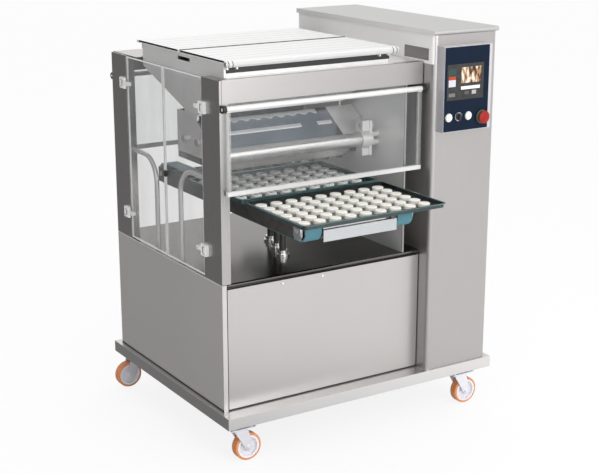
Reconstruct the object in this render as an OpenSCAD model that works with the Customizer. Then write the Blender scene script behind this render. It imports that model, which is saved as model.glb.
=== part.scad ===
// Tray depositor for cookies: a cabinet on four castors with a two-belt tray conveyor on a lift,
// a hopper and roller head behind hinged clear guards, and a tall control column at the right.
// Sizes are in millimetres. Inside the modules X runs from the left edge of the base rail,
// Y from its front edge to the back and Z from the floor; placed() centres the whole machine.

/* [Base] */
// Depth of the base rail, front to back
rail_d = 968; // [950:5:1030]
// Height of the folded rail
rail_h = 44; // [36:1:60]
// Width of the rail's top and bottom flanges
rail_flange = 100; // [92:1:120]
// Height of the rail's underside over the floor
ride_h = 147; // [143:1:170]
// Thickness of the rail's sheet
rail_t = 3; // [2:0.5:5]
// Thickness of panels, posts and covers
sheet_t = 2; // [1.5:0.5:3]

/* [Castors] */
// Diameter of the castor wheels
wheel_d = 106; // [96:1:110]
// Width of the castor wheels
wheel_w = 34; // [28:1:40]
// Thickness of the tyre on its hub
tyre_t = 9; // [7:1:15]
// Distance from the swivel axis to the axle
trail = 32; // [24:1:38]
// Length and width of the castor plates
plate_l = 100; // [90:1:110]
// Width of the castor plates
plate_w = 84; // [76:1:90]
// Distance from the rail's left edge to the left swivel axes
castor_in_l = 66; // [60:1:76]
// Distance from the rail's right edge to the right swivel axes
castor_in_r = 128; // [118:1:138]
// Distance from the rail's front and back edges to the swivel axes
castor_in_y = 47; // [44:1:52]

/* [Body] */
// Inset of the body's left face from the rail's left edge
side_in = 21; // [15:0.5:30]
// Inset of the body's front from the rail's front edge
front_in = 70; // [64:1:78]
// Inset of the body's back from the rail's back edge
rear_in = 30; // [26:1:38]
// Height of the chamber floor over the floor
deck_z = 670; // [652:1:688]
// Height of the frame's top over the floor
frame_z = 1393; // [1385:1:1415]
// Width of a left post seen from the front
post_w = 36; // [34:1:44]
// Depth of a left post seen from the side
post_d = 128; // [110:1:140]
// Height of the covers over the guards
cover_h = 80; // [70:1:82]
// Width of the service gap between chamber wall and column
service_gap = 81; // [70:1:84]

/* [Column] */
// Width of the control column
col_w = 297; // [280:1:302]
// Inset of the column from the rail's right edge
col_in = 23; // [17:1:29]
// Inset of the column from the rail's front edge
col_front_in = 8; // [4:1:16]
// Inset of the column from the rail's back edge
col_rear_in = 18; // [12:1:26]
// Height of the column's shell over the floor
col_z1 = 1495; // [1488:1:1545]
// Radius of the column's upright edges
col_r = 18; // [10:1:18]
// Height of the cap
cap_h = 18; // [12:1:26]
// Overhang of the cap at the sides
cap_side = 4; // [2:1:10]
// Overhang of the cap at the front
cap_front = 5; // [3:1:12]

/* [Control box] */
// Width of the control box
box_w = 224; // [214:1:234]
// Height of the control box
box_h = 318; // [306:1:330]
// Depth of the control box
box_d = 40; // [36:1:48]
// Distance from the column's left face to the box
box_in = 18; // [18:1:28]
// Distance from the frame's top up to the box's top
box_up = 64; // [56:1:72]
// Width of the glass plate
glass_w = 205; // [198:1:206]
// Thickness of the glass plate
glass_t = 4; // [3:0.5:6]
// Radius of a push button's cap
button_r = 13.5; // [11:0.5:15]
// Radius of the emergency stop's mushroom
stop_r = 24; // [18:0.5:25]
// Travel of the push buttons
button_travel = 4; // [3:0.5:5]

/* [Guards] */
// Diameter of the guard's hinge bar
bar_d = 20; // [18:1:22]
// Distance from the frame's top down to the bar's axis
bar_drop = 96; // [95:1:104]
// Distance from the bar's axis to the guard's lower edge
guard_h = 304; // [290:1:306]
// Thickness of the clear guard sheet
guard_t = 4; // [3:0.5:5]
// Width of the guard's side strips
strip_w = 17; // [12:1:24]
// Height of the guard's lower lip
lip_h = 16; // [12:1:20]

/* [Side doors] */
// Thickness of the clear door sheets
door_t = 5; // [4:0.5:7]
// Gap between the two doors
door_gap = 4; // [2:0.5:8]
// Length of one hinge leaf
leaf_l = 36; // [30:1:42]
// Height of a hinge
hinge_h = 42; // [36:1:54]
// Radius of the door knob
knob_r = 13; // [10:0.5:16]

/* [Hopper] */
// Distance from the body's left face to the hopper
hop_left = 37; // [37:1:42]
// Distance from the hopper to the chamber's right wall
hop_right = 60; // [54:1:66]
// Distance from the body's front to the hopper
hop_in = 32; // [26:1:36]
// Distance from the hopper to the body's back
hop_rear = 205; // [190:1:220]
// Height of the hopper over the frame's top
hop_rise = 56; // [50:1:68]
// Width of the throat over the rollers
throat_d = 100; // [84:1:102]
// Height of a lid leaf's folded edge
lid_h = 9; // [7:1:12]

/* [Roller head] */
// Distance from the body's left face to the head
head_left = 96; // [92:1:100]
// Distance from the head to the chamber's right wall
head_right = 55; // [52:1:60]
// Distance from the body's front to the head's front edge
head_in = 209; // [206:1:212]
// Diameter of the feed rollers
roller_d = 100; // [92:1:101]
// Number of flutes on a roller
flutes = 24; // [16:1:28]
// Depth of a flute
flute_r = 5; // [3:0.5:6]
// Diameter of the roller shafts
shaft_d = 30; // [24:1:34]
// Teeth on each roller gear
teeth = 26; // [24:1:28]
// Diameter of the clamp beam
beam_d = 54; // [46:1:56]
// Number of nozzles
nozzles = 9; // [7:1:9]
// Distance from the head's ends to the outer nozzles
nozzle_end = 64; // [58:1:72]
// Outer radius of a nozzle at its root
nozzle_r = 17; // [14:0.5:20]

/* [Conveyor] */
// Width between the outer conveyor rails' outer faces
line_w = 470; // [450:1:490]
// Width of a belt
belt_w = 65; // [56:1:70]
// Thickness of a belt
belt_t = 3; // [2:0.5:4]
// Diameter of the belt pulleys
pulley_d = 76; // [70:1:77]
// Distance that the belts stand ahead of the rail's front edge
line_front = 183; // [170:1:200]
// Distance from the rail's back edge to the belts' back end
line_rear = 40; // [32:1:60]
// Height of the belts' top run over the floor
belt_z = 935.7; // [932.7:0.5:937.7]
// Diameter of the guide rods
guide_d = 25; // [20:1:30]
// Diameter of the piston rod
piston_d = 20; // [16:1:24]
// Distance from the piston rod to a guide rod, front to back
rod_pitch = 99; // [84:1:110]
// Distance from the piston rod to a guide rod, to the side
rod_side = 33; // [24:1:42]

/* [Trays] */
// Width of a tray
tray_w = 600; // [580:1:606]
// Depth of a tray
tray_d = 400; // [390:1:400]
// Height of a tray
tray_h = 15; // [12:1:18]
// Distance from the body's left face to the trays
tray_left = 112; // [106:1:124]
// Distance from the trays to the chamber's right wall
tray_right = 71; // [66:1:80]
// Distance that the front tray stands ahead of the rail's front edge
tray_over = 288; // [270:1:300]
// Distance between the two trays
tray_gap = 20; // [14:1:24]
// Dough rounds across a tray
dough_cols = 9; // [5:1:9]
// Dough rounds along a tray
dough_rows = 6; // [3:1:6]
// Diameter of a dough round
dough_d = 42; // [34:1:46]
// Height of a dough round
dough_h = 13; // [10:1:16]
// Distance between two rounds across a tray
dough_step_x = 62.5; // [48:0.5:63]
// Distance between two rounds along a tray
dough_step_y = 56; // [48:1:58]
// Distance from a tray's left edge to the middle of the first rounds
dough_side = 33; // [32:1:50]
// Distance from a tray's front edge to the middle of the first rounds
dough_front = 51; // [40:1:60]

/* [Hidden] */
$fn = 48;
over = 1;
fit = 0.05;
seat = 0.3;
slack = 3;
fold_w = 18;
sill_r = 7;
sill_gap = 6;
steel = "silver";
bright = "whitesmoke";
dark = "dimgray";
black = "#222222";
clear = [0.85, 0.9, 0.92, 0.35];
white = "white";

// Places on the base and body
rail_z1 = ride_h + rail_h;
body_x0 = side_in;
body_y0 = front_in;
body_y1 = rail_d - rear_in;
deck_z0 = deck_z - sheet_t;
line_x = body_x0 + tray_left + tray_w / 2;
wall_x = line_x + tray_w / 2 + tray_right;
col_x0 = wall_x + service_gap;
col_x1 = col_x0 + col_w;
rail_w = col_x1 + col_in;
col_y0 = col_front_in;
col_y1 = rail_d - col_rear_in;
panel_x0 = body_x0 + fold_w + slack;
panel_x1 = col_x0 - slack;
panel_z1 = deck_z - 2 * sill_r - sill_gap;
wall_hem = 8;
cover_in = 9;
cover_x0 = body_x0 + cover_in;
cover_z0 = frame_z - cover_h;

// The head stands over the trays' middle line
head_x0 = body_x0 + head_left;
head_x1 = wall_x - head_right;
head_w = head_x1 - head_x0;
nozzle_pitch = (head_w - 2 * nozzle_end) / (nozzles - 1);

// Castor parts
wheel_r = wheel_d / 2;
wheel_out = max(0, wheel_r + trail - castor_in_l);
plate_t = 4;
spacer_h = 7;
spacer_r = 8;
spacer_in = 14;
king_r = 8;
king_end = 2;
race_r = 27;
race_h = 9;
crown_t = 5;
leg_t = 4;
leg_gap = 3;
leg_boss_r = 14;
axle_r = 6;
nut_h = 5;
nut_r = 9;
plate_z0 = ride_h - spacer_h - plate_t;
crown_z1 = plate_z0 - seat - race_h;
fork_half = wheel_w / 2 + leg_gap + leg_t;
hub_r = wheel_r - tyre_t;
hub_bore_r = axle_r + fit;
web_share = 0.4;
rim_share = 0.82;
boss_share = 0.36;
tyre_round_share = 0.5;

// Column cut-out and control panel
cut_in = 14;
cut_w = 150;
cut_h = 44;
cut_up = 8;
box_x0 = col_x0 + box_in;
box_x1 = box_x0 + box_w;
box_z1 = frame_z + box_up;
box_z0 = box_z1 - box_h;
box_y0 = col_y0 - box_d;
glass_in = 3;
glass_x0 = box_x0 + glass_in;
glass_z0 = box_z0 + glass_in;
glass_z1 = box_z1 - glass_in;
glass_y0 = box_y0 - glass_t;
button_row = 57;
button_first = 17;
button_step = 46;
stop_in = 178;
stop_row = 46;
button_z = box_z0 + button_row;
stop_x = glass_x0 + stop_in;
stop_z = box_z0 + stop_row;
collar_w = 2.5;
collar_h = 5;
cap_proud = 3;
cap_tail = 10;
slide_gap = 0.1;
stem_r = 8;
stop_t = 10;
stop_gap = 8;
knob_bar = 7;

// Guards
bar_r = bar_d / 2;
bar_off = 13;
bar_z = frame_z - bar_drop;
guard_yf = body_y0 - bar_off;
guard_yr = body_y1 + bar_off;
block_r = 13;
block_w = 14;
block_in = 3;
journal_r = 6;
guard_x0 = body_x0 + block_in + block_w + seat;
guard_x1 = col_x0 - slack - block_w - seat;
lip_t = 14;
strip_t = 9;
slot_depth = 6;
guard_z0 = bar_z - guard_h;

// Side doors
knuckle_r = 6;
hinge_pin_r = 3;
hinge_off = 2;
hinge_stand = 7;
hinge_web = 5;
knuckle_gap = 3;
hinge_top = 105;
hinge_low = 105;
door_in = 3;
door_x0 = body_x0 + door_in;
door_z0 = deck_z + door_gap;
door_z1 = frame_z - hinge_off;
hinge_x = body_x0 - hinge_stand;
hinge_yf = body_y0 + post_d + hinge_off;
hinge_yr = body_y1 - post_d - hinge_off;
door_meet = (hinge_yf + hinge_yr) / 2;
hinge_zs = [deck_z + hinge_low, frame_z - hinge_top];
knob_t = 8;
knob_stem_r = 7;
knob_in = 18;
knob_z_share = 0.45;

// Hoops inside the doors
hoop_r = 9;
hoop_bend = 95;
hoop_in = 25;
hoop_x = body_x0 + hoop_in;
hoop_rise = 354;
hoop_reach = 225;
hoop_rear_reach = 190;

// Roller head
head_y0 = body_y0 + head_in;
head_plate_t = 8;
head_run = 137;
head_climb = 94;
head_nose = 39;
head_neck = 23;
head_back = 156;
die_h = 24;
head_drop = 360;
die_z0 = frame_z - head_drop;
die_z1 = die_z0 + die_h;
nose_z = die_z1 + head_nose;
neck_y = head_y0 + head_run;
neck_z = nose_z + head_climb;
head_z1 = neck_z + head_neck;
head_y1 = neck_y + head_back;
cover_t = 3;
cover_lap = 4;
mirror_share = 0.885;
roller_r = roller_d / 2;
shaft_r = shaft_d / 2;
gear_pitch_r = 52;
gear_add = 2.8;
gear_ded = 4.8;
gear_w = 20;
gear_off = 5;
tip_share = 0.12;
root_share = 0.33;
roller_in = 11;
roller_up = 56;
roller_y = [neck_y - roller_in, neck_y - roller_in + 2 * gear_pitch_r];
roller_z = die_z1 + roller_up;
roller_end = 2;
shaft_out = 12;
gear_x0 = head_x1 + gear_off;

// Clamp beam and die
beam_r = beam_d / 2;
beam_gap = 5;
beam_y = head_y0 - beam_gap - beam_r;
beam_up = 31;
beam_z = die_z1 + beam_up;
bracket_t = 12;
bracket_r = 26;
bracket_low = 60;
bracket_high = 74;
ring_l = 46;
ring_w = 9;
clamp_l = 42;
clamp_half = 21;
clamp_up = beam_r + ring_w - slack;
stud_r = 12;
stud_gap = 16;
beam_x0 = head_x0 + bracket_t;
beam_x1 = head_x1 + slack;
screw_r = 5;
screw_head_r = 15;
screw_head_t = 14;
screw_up = 54;
screw_tail = 10;
nozzle_in = 48;
nozzle_y = head_y0 + nozzle_in;
nozzle_plate_r = 30;
nozzle_plate_h = 10;
nozzle_h = 15;
nozzle_tip_share = 0.65;
nozzle_bore_r = 6;
die_front = 12;
slot_w = 16;
gallery_h = 8;
gallery_up = 6;

// Hopper
hop_x0 = body_x0 + hop_left;
hop_x1 = wall_x - hop_right;
hop_y0 = body_y0 + hop_in;
hop_y1 = body_y1 - hop_rear;
hop_z1 = frame_z + hop_rise;
hop_skirt = 30;
hop_wall_z = frame_z - hop_skirt;
hop_flange = 14;
throat_h = 10;
throat_z1 = head_z1 + throat_h;
funnel_t = 5;
throat_y = roller_y[0] + gear_pitch_r;
throat_half = throat_d / 2;
throat_x0 = head_x0 + head_plate_t + roller_end;
throat_x1 = head_x1 - head_plate_t - roller_end;
throat_lap = 9;
handle_w = 92;
handle_h = 13;
lug_w = 6;
lug_span = 32;
lug_in = 4;
lug_low = 2;
lid_pin_r = 4;
lid_barrel_r = 8;
lid_pin_out = 11;
lid_pin_z = hop_z1 - lid_barrel_r;
lid_side = 14;
lid_gap = 4;
lid_meet_off = 60;
lid_nose = 30;
lid_roll_r = 11;
lid_meet = throat_y - lid_meet_off;
lid_bead = 3;
lid_bead_depth = 1.5;
lid_beads = 5;

// Conveyor and lift
belt_r = pulley_d / 2 + seat + belt_t;
line_z = belt_z - belt_r;
line_y0 = belt_r - line_front;
line_y1 = rail_d - line_rear - belt_r;
line_x0 = line_x - line_w / 2;
rail_plate_t = 6;
inner_plate_t = 4;
belt_side = 4;
rail_up = 26;
rail_down = 34;
rail_nose = 16;
bearing_r = 27;
bearing_t = 3;
pulley_in = 1;
pulley_shaft_r = 10;
shaft_proud = 4;
cross_r = 15;
cross_shares = [0.08, 0.48, 0.92];
front_plate_h = 42;
lift_y_share = 0.51;
lift_y = line_y0 + (line_y1 - line_y0) * lift_y_share;
guide_places = [[line_x - rod_side, lift_y - rod_pitch], [line_x + rod_side, lift_y + rod_pitch]];
lift_plate_t = 8;
lift_plate_edge = 30;
lift_plate_d = 2 * (rod_pitch + lift_plate_edge);
lift_z1 = line_z - rail_down;
rod_tail = 18;
rod_end_z = deck_z - rod_tail;
bush_up = 22;
bush_down = 110;
bush_wall = 8;
piston_wall = 10;
piston_down = 112;
piston_floor = 10;
flange_h = 8;
flange_w = 6;

// Trays and dough
tray_t = 2;
tray_lip = 6;
tray_corner = 22;
tray_z0 = belt_z + seat;
tray_x0 = line_x - tray_w / 2;
tray_ys = [-tray_over, -tray_over + tray_d + tray_gap];
dough_round = 3;
dough_dimple_share = 0.32;

// Moves the machine so that the middle of its box stands over the origin
module placed() {
    translate([(wheel_out - rail_w) / 2, (tray_over - rail_d) / 2, 0]) children();
}

// Box between two corners
module span(a, b) {
    translate(a) cube(b - a);
}

// Round bars along X, Y and Z
module rod_x(x0, x1, y, z, r) {
    translate([x0, y, z]) rotate([0, 90, 0]) cylinder(r = r, h = x1 - x0);
}

module rod_y(x, y0, y1, z, r) {
    translate([x, y0, z]) rotate([-90, 0, 0]) cylinder(r = r, h = y1 - y0);
}

module rod_z(x, y, z0, z1, r) {
    translate([x, y, z0]) cylinder(r = r, h = z1 - z0);
}

// Profile drawn in Y and Z, drawn out along X
module along_x(x0, x1) {
    translate([x0, 0, 0]) rotate([90, 0, 90]) linear_extrude(x1 - x0) children();
}

// Rectangle with round corners
module round_rect(w, d, r) {
    translate([r, 0]) square([w - 2 * r, d]);
    translate([0, r]) square([w, d - 2 * r]);
    for (x = [r, w - r], y = [r, d - r])
        translate([x, y]) circle(r);
}

// Base rail: a folded channel that runs round the machine, open to the inside
module base_rail() {
    color(steel) placed() translate([0, 0, ride_h]) difference() {
        cube([rail_w, rail_d, rail_h]);
        span([rail_flange, rail_flange, -over], [rail_w - rail_flange, rail_d - rail_flange, rail_h + over]);
        span([rail_t, rail_t, rail_t], [rail_w - rail_t, rail_d - rail_t, rail_h - rail_t]);
    }
}

// Lower cabinet panels: folded pans
module left_lower_panel() {
    color(steel) placed() difference() {
        span([body_x0, body_y0, rail_z1], [body_x0 + fold_w, body_y1, deck_z0]);
        span([body_x0 + sheet_t, body_y0 + sheet_t, rail_z1 + sheet_t],
            [body_x0 + fold_w + over, body_y1 - sheet_t, deck_z0 - sheet_t]);
    }
}

module front_lower_panel() {
    color(steel) placed() difference() {
        span([panel_x0, body_y0, rail_z1], [panel_x1, body_y0 + fold_w, panel_z1]);
        span([panel_x0 + sheet_t, body_y0 + sheet_t, rail_z1 + sheet_t],
            [panel_x1 - sheet_t, body_y0 + fold_w + over, panel_z1 - sheet_t]);
    }
}

module rear_lower_panel() {
    color(steel) placed() difference() {
        span([panel_x0, body_y1 - fold_w, rail_z1], [panel_x1, body_y1, panel_z1]);
        span([panel_x0 + sheet_t, body_y1 - fold_w - over, rail_z1 + sheet_t],
            [panel_x1 - sheet_t, body_y1 - sheet_t, panel_z1 - sheet_t]);
    }
}

// Chamber floor with a round sill at the front and the back
module deck_plate() {
    color(steel) placed() difference() {
        union() {
            span([body_x0, body_y0 + sill_r, deck_z0], [col_x0, body_y1 - sill_r, deck_z]);
            span([body_x0, body_y0, deck_z0], [panel_x0, body_y1, deck_z]);
            for (y = [body_y0 + sill_r, body_y1 - sill_r])
                rod_x(panel_x0, panel_x1, y, deck_z - sill_r, sill_r);
        }
        for (p = guide_places)
            rod_z(p[0], p[1], deck_z0 - over, deck_z + over, guide_d / 2 + bush_wall + seat);
        rod_z(line_x, lift_y, deck_z0 - over, deck_z + over, piston_d / 2 + piston_wall + seat);
    }
}

// Left posts: folded sections, closed at the top and open to the chamber
module left_post(y0, y1) {
    color(steel) placed() difference() {
        span([body_x0, y0, deck_z], [body_x0 + post_w, y1, frame_z]);
        span([body_x0 + sheet_t, y0 + sheet_t, deck_z - over],
            [body_x0 + post_w + over, y1 - sheet_t, frame_z - sheet_t]);
    }
}

module front_left_post() {
    left_post(body_y0, body_y0 + post_d);
}

module rear_left_post() {
    left_post(body_y1 - post_d, body_y1);
}

// Covers over the guards, folded back over the posts
module front_top_cover() {
    color(steel) placed() {
        span([cover_x0, body_y0 - sheet_t, cover_z0], [panel_x1, body_y0, frame_z + sheet_t]);
        span([cover_x0, body_y0 - sheet_t, frame_z], [panel_x1, hop_y0 - slack, frame_z + sheet_t]);
    }
}

module rear_top_cover() {
    color(steel) placed() {
        span([cover_x0, body_y1, cover_z0], [panel_x1, body_y1 + sheet_t, frame_z + sheet_t]);
        span([cover_x0, hop_y1 + slack, frame_z], [panel_x1, body_y1 + sheet_t, frame_z + sheet_t]);
    }
}

// Wall between chamber and column, with a hem at the front, folded at the back and the top
module right_inner_wall() {
    color(steel) placed() {
        span([wall_x, body_y0, deck_z], [wall_x + sheet_t, body_y1, frame_z]);
        span([wall_x, body_y0, deck_z], [wall_x + wall_hem, body_y0 + sheet_t, frame_z]);
        span([wall_x, body_y1 - sheet_t, deck_z], [panel_x1, body_y1, frame_z]);
        span([hop_x1 + slack, hop_y0, frame_z], [panel_x1, hop_y1, frame_z + sheet_t]);
    }
}

// Control column: a folded shell with round upright edges and a cable cut-out in its left wall
module column_shell() {
    color(steel) placed() difference() {
        translate([col_x0, col_y0, rail_z1]) linear_extrude(col_z1 - rail_z1) difference() {
            round_rect(col_w, col_y1 - col_y0, col_r);
            translate([sheet_t, sheet_t])
                round_rect(col_w - 2 * sheet_t, col_y1 - col_y0 - 2 * sheet_t, col_r - sheet_t);
        }
        translate([0, col_y0 + col_r + cut_in, frame_z + cut_up])
            span([col_x0 - over, 0, 0], [col_x0 + sheet_t + over, cut_w, cut_h]);
    }
}

module column_cap() {
    cap_r = cap_h / 2;
    color(bright) placed() {
        span([col_x0 - cap_side, col_y0 - cap_front + cap_r, col_z1], [col_x1 + cap_side, col_y1, col_z1 + cap_h]);
        rod_x(col_x0 - cap_side, col_x1 + cap_side, col_y0 - cap_front + cap_r, col_z1 + cap_r, cap_r);
    }
}

// Places of the three small controls on the panel
function button_x(i) = glass_x0 + button_first + i * button_step;

// Holes through the panel for the controls
module panel_holes(y0, y1, room) {
    for (i = [0:2])
        rod_y(button_x(i), y0, y1, button_z, button_r + room);
    rod_y(stop_x, y0, y1, stop_z, stem_r + room);
}

module control_box() {
    color(steel) placed() difference() {
        span([box_x0, box_y0, box_z0], [box_x1, col_y0, box_z1]);
        span([box_x0 + sheet_t, box_y0 + sheet_t, box_z0 + sheet_t], [box_x1 - sheet_t, col_y0 + over, box_z1 - sheet_t]);
        panel_holes(box_y0 - over, box_y0 + sheet_t + over, slack);
    }
}

module control_glass() {
    color("midnightblue") placed() difference() {
        span([glass_x0, glass_y0, glass_z0], [glass_x0 + glass_w, box_y0, glass_z1]);
        panel_holes(glass_y0 - over, box_y0 + over, seat);
    }
}

module button_collars() {
    color(black) placed() difference() {
        union() {
            for (i = [0:2])
                rod_y(button_x(i), glass_y0 - collar_h, glass_y0, button_z, button_r + collar_w);
            rod_y(stop_x, glass_y0 - collar_h, glass_y0, stop_z, stem_r + 3 * collar_w);
        }
        panel_holes(glass_y0 - collar_h - over, glass_y0 + over, slide_gap);
    }
}

// Push button caps slide in their collars
module push_cap(i) {
    rod_y(button_x(i), glass_y0 - collar_h - cap_proud, glass_y0 + cap_tail, button_z, button_r);
}

module start_button() {
    color(white) placed() push_cap(0);
}

module selector_knob() {
    color(black) placed() {
        push_cap(1);
        span([button_x(1) - knob_bar / 2, glass_y0 - collar_h - cap_proud - knob_bar, button_z - button_r],
            [button_x(1) + knob_bar / 2, glass_y0 - collar_h - cap_proud, button_z + button_r]);
    }
}

module stop_button() {
    color(white) placed() push_cap(2);
}

module emergency_stop() {
    color("firebrick") placed() {
        rod_y(stop_x, glass_y0 - collar_h - stop_gap, glass_y0 + cap_tail, stop_z, stem_r);
        translate([stop_x, glass_y0 - collar_h - stop_gap, stop_z]) rotate([90, 0, 0]) rotate_extrude()
            intersection() {
                translate([0, stop_t - 2 * stop_r]) circle(2 * stop_r);
                square([stop_r, stop_t]);
            }
    }
}

// Swivel axes of the castors: left or right, front or back
function castor_x(right) = right ? rail_w - castor_in_r : castor_in_l;
function castor_y(rear) = rear ? rail_d - castor_in_y : castor_in_y;

// Place of the axle from the swivel axis: the rear left wheel trails to the left, the others to the right
function axle_x(right, rear) = !right && rear ? -trail : trail;

module castor_plates() {
    color(steel) placed()
        for (right = [false, true], rear = [false, true])
            translate([castor_x(right), castor_y(rear), plate_z0]) difference() {
                union() {
                    translate([-plate_l / 2, -plate_w / 2, 0]) cube([plate_l, plate_w, plate_t]);
                    for (x = [-1, 1], y = [-1, 1])
                        translate([x * (plate_l / 2 - spacer_in), y * (plate_w / 2 - spacer_in), 0])
                            cylinder(r = spacer_r, h = plate_t + spacer_h);
                }
                translate([0, 0, -over]) cylinder(r = king_r + fit, h = plate_t + 2 * over);
            }
}

// Fork with its bearing race, king pin and axle
module castor_fork(right, rear) {
    axle = axle_x(right, rear);
    color(steel) placed() translate([castor_x(right), castor_y(rear), 0]) {
        rod_z(0, 0, crown_z1, plate_z0 - seat, race_r);
        rod_z(0, 0, crown_z1, ride_h - king_end, king_r);
        span([-race_r, -fork_half, crown_z1 - crown_t], [race_r, fork_half, crown_z1]);
        for (side = [-1, 1])
            translate([0, side * (fork_half - leg_t / 2) + leg_t / 2, 0]) rotate([90, 0, 0])
                linear_extrude(leg_t) hull() {
                    translate([-race_r, crown_z1 - crown_t]) square([2 * race_r, crown_t]);
                    translate([axle, wheel_r]) circle(leg_boss_r, $fn = 32);
                }
        rod_y(axle, -fork_half - nut_h, fork_half + nut_h, wheel_r, axle_r);
        for (y = [-fork_half - nut_h, fork_half])
            rod_y(axle, y, y + nut_h, wheel_r, nut_r);
    }
}

module castor_fork_fl() {
    castor_fork(false, false);
}

module castor_fork_fr() {
    castor_fork(true, false);
}

module castor_fork_rl() {
    castor_fork(false, true);
}

module castor_fork_rr() {
    castor_fork(true, true);
}

// Wheel: a hub with rim, web and boss, and the tyre moulded round it
module hub_profile() {
    half = wheel_w / 2;
    translate([hub_bore_r, -half]) square([hub_r * boss_share - hub_bore_r, wheel_w]);
    translate([hub_bore_r, -half * web_share]) square([hub_r - hub_bore_r, wheel_w * web_share]);
    translate([hub_r * rim_share, -half]) square([hub_r * (1 - rim_share), wheel_w]);
}

module tyre_profile() {
    half = wheel_w / 2;
    round_r = tyre_t * tyre_round_share;
    translate([hub_r + fit, -half]) square([tyre_t - fit - round_r, wheel_w]);
    translate([hub_r + fit, round_r - half]) square([tyre_t - fit, wheel_w - 2 * round_r]);
    for (y = [round_r - half, half - round_r])
        translate([wheel_r - round_r, y]) circle(round_r);
}

module castor_wheel(right, rear) {
    color("orange") placed() translate([castor_x(right) + axle_x(right, rear), castor_y(rear), wheel_r])
        rotate([90, 0, 0]) {
        rotate_extrude() hub_profile();
        rotate_extrude() tyre_profile();
    }
}

module castor_wheel_fl() {
    castor_wheel(false, false);
}

module castor_wheel_fr() {
    castor_wheel(true, false);
}

module castor_wheel_rl() {
    castor_wheel(false, true);
}

module castor_wheel_rr() {
    castor_wheel(true, true);
}

// Guards hang from a hinge bar whose journals turn in blocks on the posts, the back wall fold and the column
module hinge_block(x0, x1, axis_y, face_y) {
    difference() {
        union() {
            rod_x(x0, x1, axis_y, bar_z, block_r);
            span([x0, min(axis_y, face_y), bar_z - block_r], [x1, max(axis_y, face_y), bar_z + block_r]);
        }
        rod_x(x0 - over, x1 + over, axis_y, bar_z, journal_r + fit);
    }
}

module guard_hinge_blocks() {
    left_x = body_x0 + block_in;
    right_x = guard_x1 + seat;
    color(black) placed() {
        hinge_block(left_x, left_x + block_w, guard_yf, body_y0);
        hinge_block(right_x, col_x0, guard_yf, body_y0);
        hinge_block(left_x, left_x + block_w, guard_yr, body_y1);
        hinge_block(right_x, right_x + block_w, guard_yr, body_y1);
    }
}

module guard_sheet(axis_y) {
    color(clear) placed()
        span([guard_x0 + strip_w - slot_depth, axis_y - guard_t / 2, guard_z0 + lip_h - slot_depth],
            [guard_x1 - strip_w + slot_depth, axis_y + guard_t / 2, bar_z - bar_r + slot_depth]);
}

module guard_frame(axis_y) {
    color(bright) placed() difference() {
        union() {
            rod_x(guard_x0, guard_x1, axis_y, bar_z, bar_r);
            rod_x(guard_x0 - block_w, guard_x1 + block_w, axis_y, bar_z, journal_r);
            span([guard_x0, axis_y - lip_t / 2, guard_z0], [guard_x1, axis_y + lip_t / 2, guard_z0 + lip_h]);
            for (x = [guard_x0, guard_x1 - strip_w])
                span([x, axis_y - strip_t / 2, guard_z0], [x + strip_w, axis_y + strip_t / 2, bar_z]);
        }
        span([guard_x0 + strip_w - slot_depth - fit, axis_y - guard_t / 2 - fit, guard_z0 + lip_h - slot_depth - fit],
            [guard_x1 - strip_w + slot_depth + fit, axis_y + guard_t / 2 + fit, bar_z - bar_r + slot_depth + fit]);
    }
}

module front_guard() {
    guard_sheet(guard_yf);
}

module front_guard_bar() {
    guard_frame(guard_yf);
}

module rear_guard() {
    guard_sheet(guard_yr);
}

module rear_guard_bar() {
    guard_frame(guard_yr);
}

// Door hinges: a base on the post with the pin, and a leaf on the door, which lies to side
module hinge_base(axis_y, side, z) {
    third = hinge_h / 3;
    near = knuckle_r + knuckle_gap;
    translate([0, axis_y, z - hinge_h / 2]) scale([1, side, 1]) {
        span([hinge_x - knuckle_r, -leaf_l, 0], [body_x0, -near, hinge_h]);
        for (low = [0, 2 * third]) {
            span([hinge_x - hinge_web, -near, low], [hinge_x + hinge_web, 0, low + third]);
            rod_z(hinge_x, 0, low, low + third, knuckle_r);
        }
        rod_z(hinge_x, 0, 0, hinge_h, hinge_pin_r);
    }
}

module hinge_leaf(axis_y, side, z) {
    third = hinge_h / 3;
    translate([0, axis_y, z - hinge_h / 2]) difference() {
        union() {
            scale([1, side, 1])
                span([hinge_x - hinge_web, 0, third + seat], [door_x0, leaf_l, 2 * third - seat]);
            rod_z(hinge_x, 0, third + seat, 2 * third - seat, knuckle_r);
        }
        rod_z(hinge_x, 0, -over, hinge_h + over, hinge_pin_r + fit);
    }
}

module door_hinge_bases() {
    color(white) placed()
        for (z = hinge_zs) {
            hinge_base(hinge_yf, 1, z);
            hinge_base(hinge_yr, -1, z);
        }
}

module front_door() {
    color(clear) placed()
        span([door_x0, hinge_yf, door_z0], [door_x0 + door_t, door_meet - door_gap / 2, door_z1]);
}

module front_door_hinges() {
    color(white) placed()
        for (z = hinge_zs)
            hinge_leaf(hinge_yf, 1, z);
}

module rear_door() {
    color(clear) placed()
        span([door_x0, door_meet + door_gap / 2, door_z0], [door_x0 + door_t, hinge_yr, door_z1]);
}

module rear_door_hinges() {
    color(white) placed()
        for (z = hinge_zs)
            hinge_leaf(hinge_yr, -1, z);
}

module door_knob() {
    knob_z = deck_z + (frame_z - deck_z) * knob_z_share;
    color(black) placed() translate([door_x0, door_meet - door_gap / 2 - knob_in, knob_z]) rotate([0, -90, 0])
        rotate_extrude() {
            square([knob_stem_r, knob_t]);
            translate([0, knob_t / 2]) square([knob_r - knob_t / 2, knob_t]);
            translate([knob_r - knob_t / 2, knob_t]) circle(knob_t / 2);
        }
}

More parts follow.
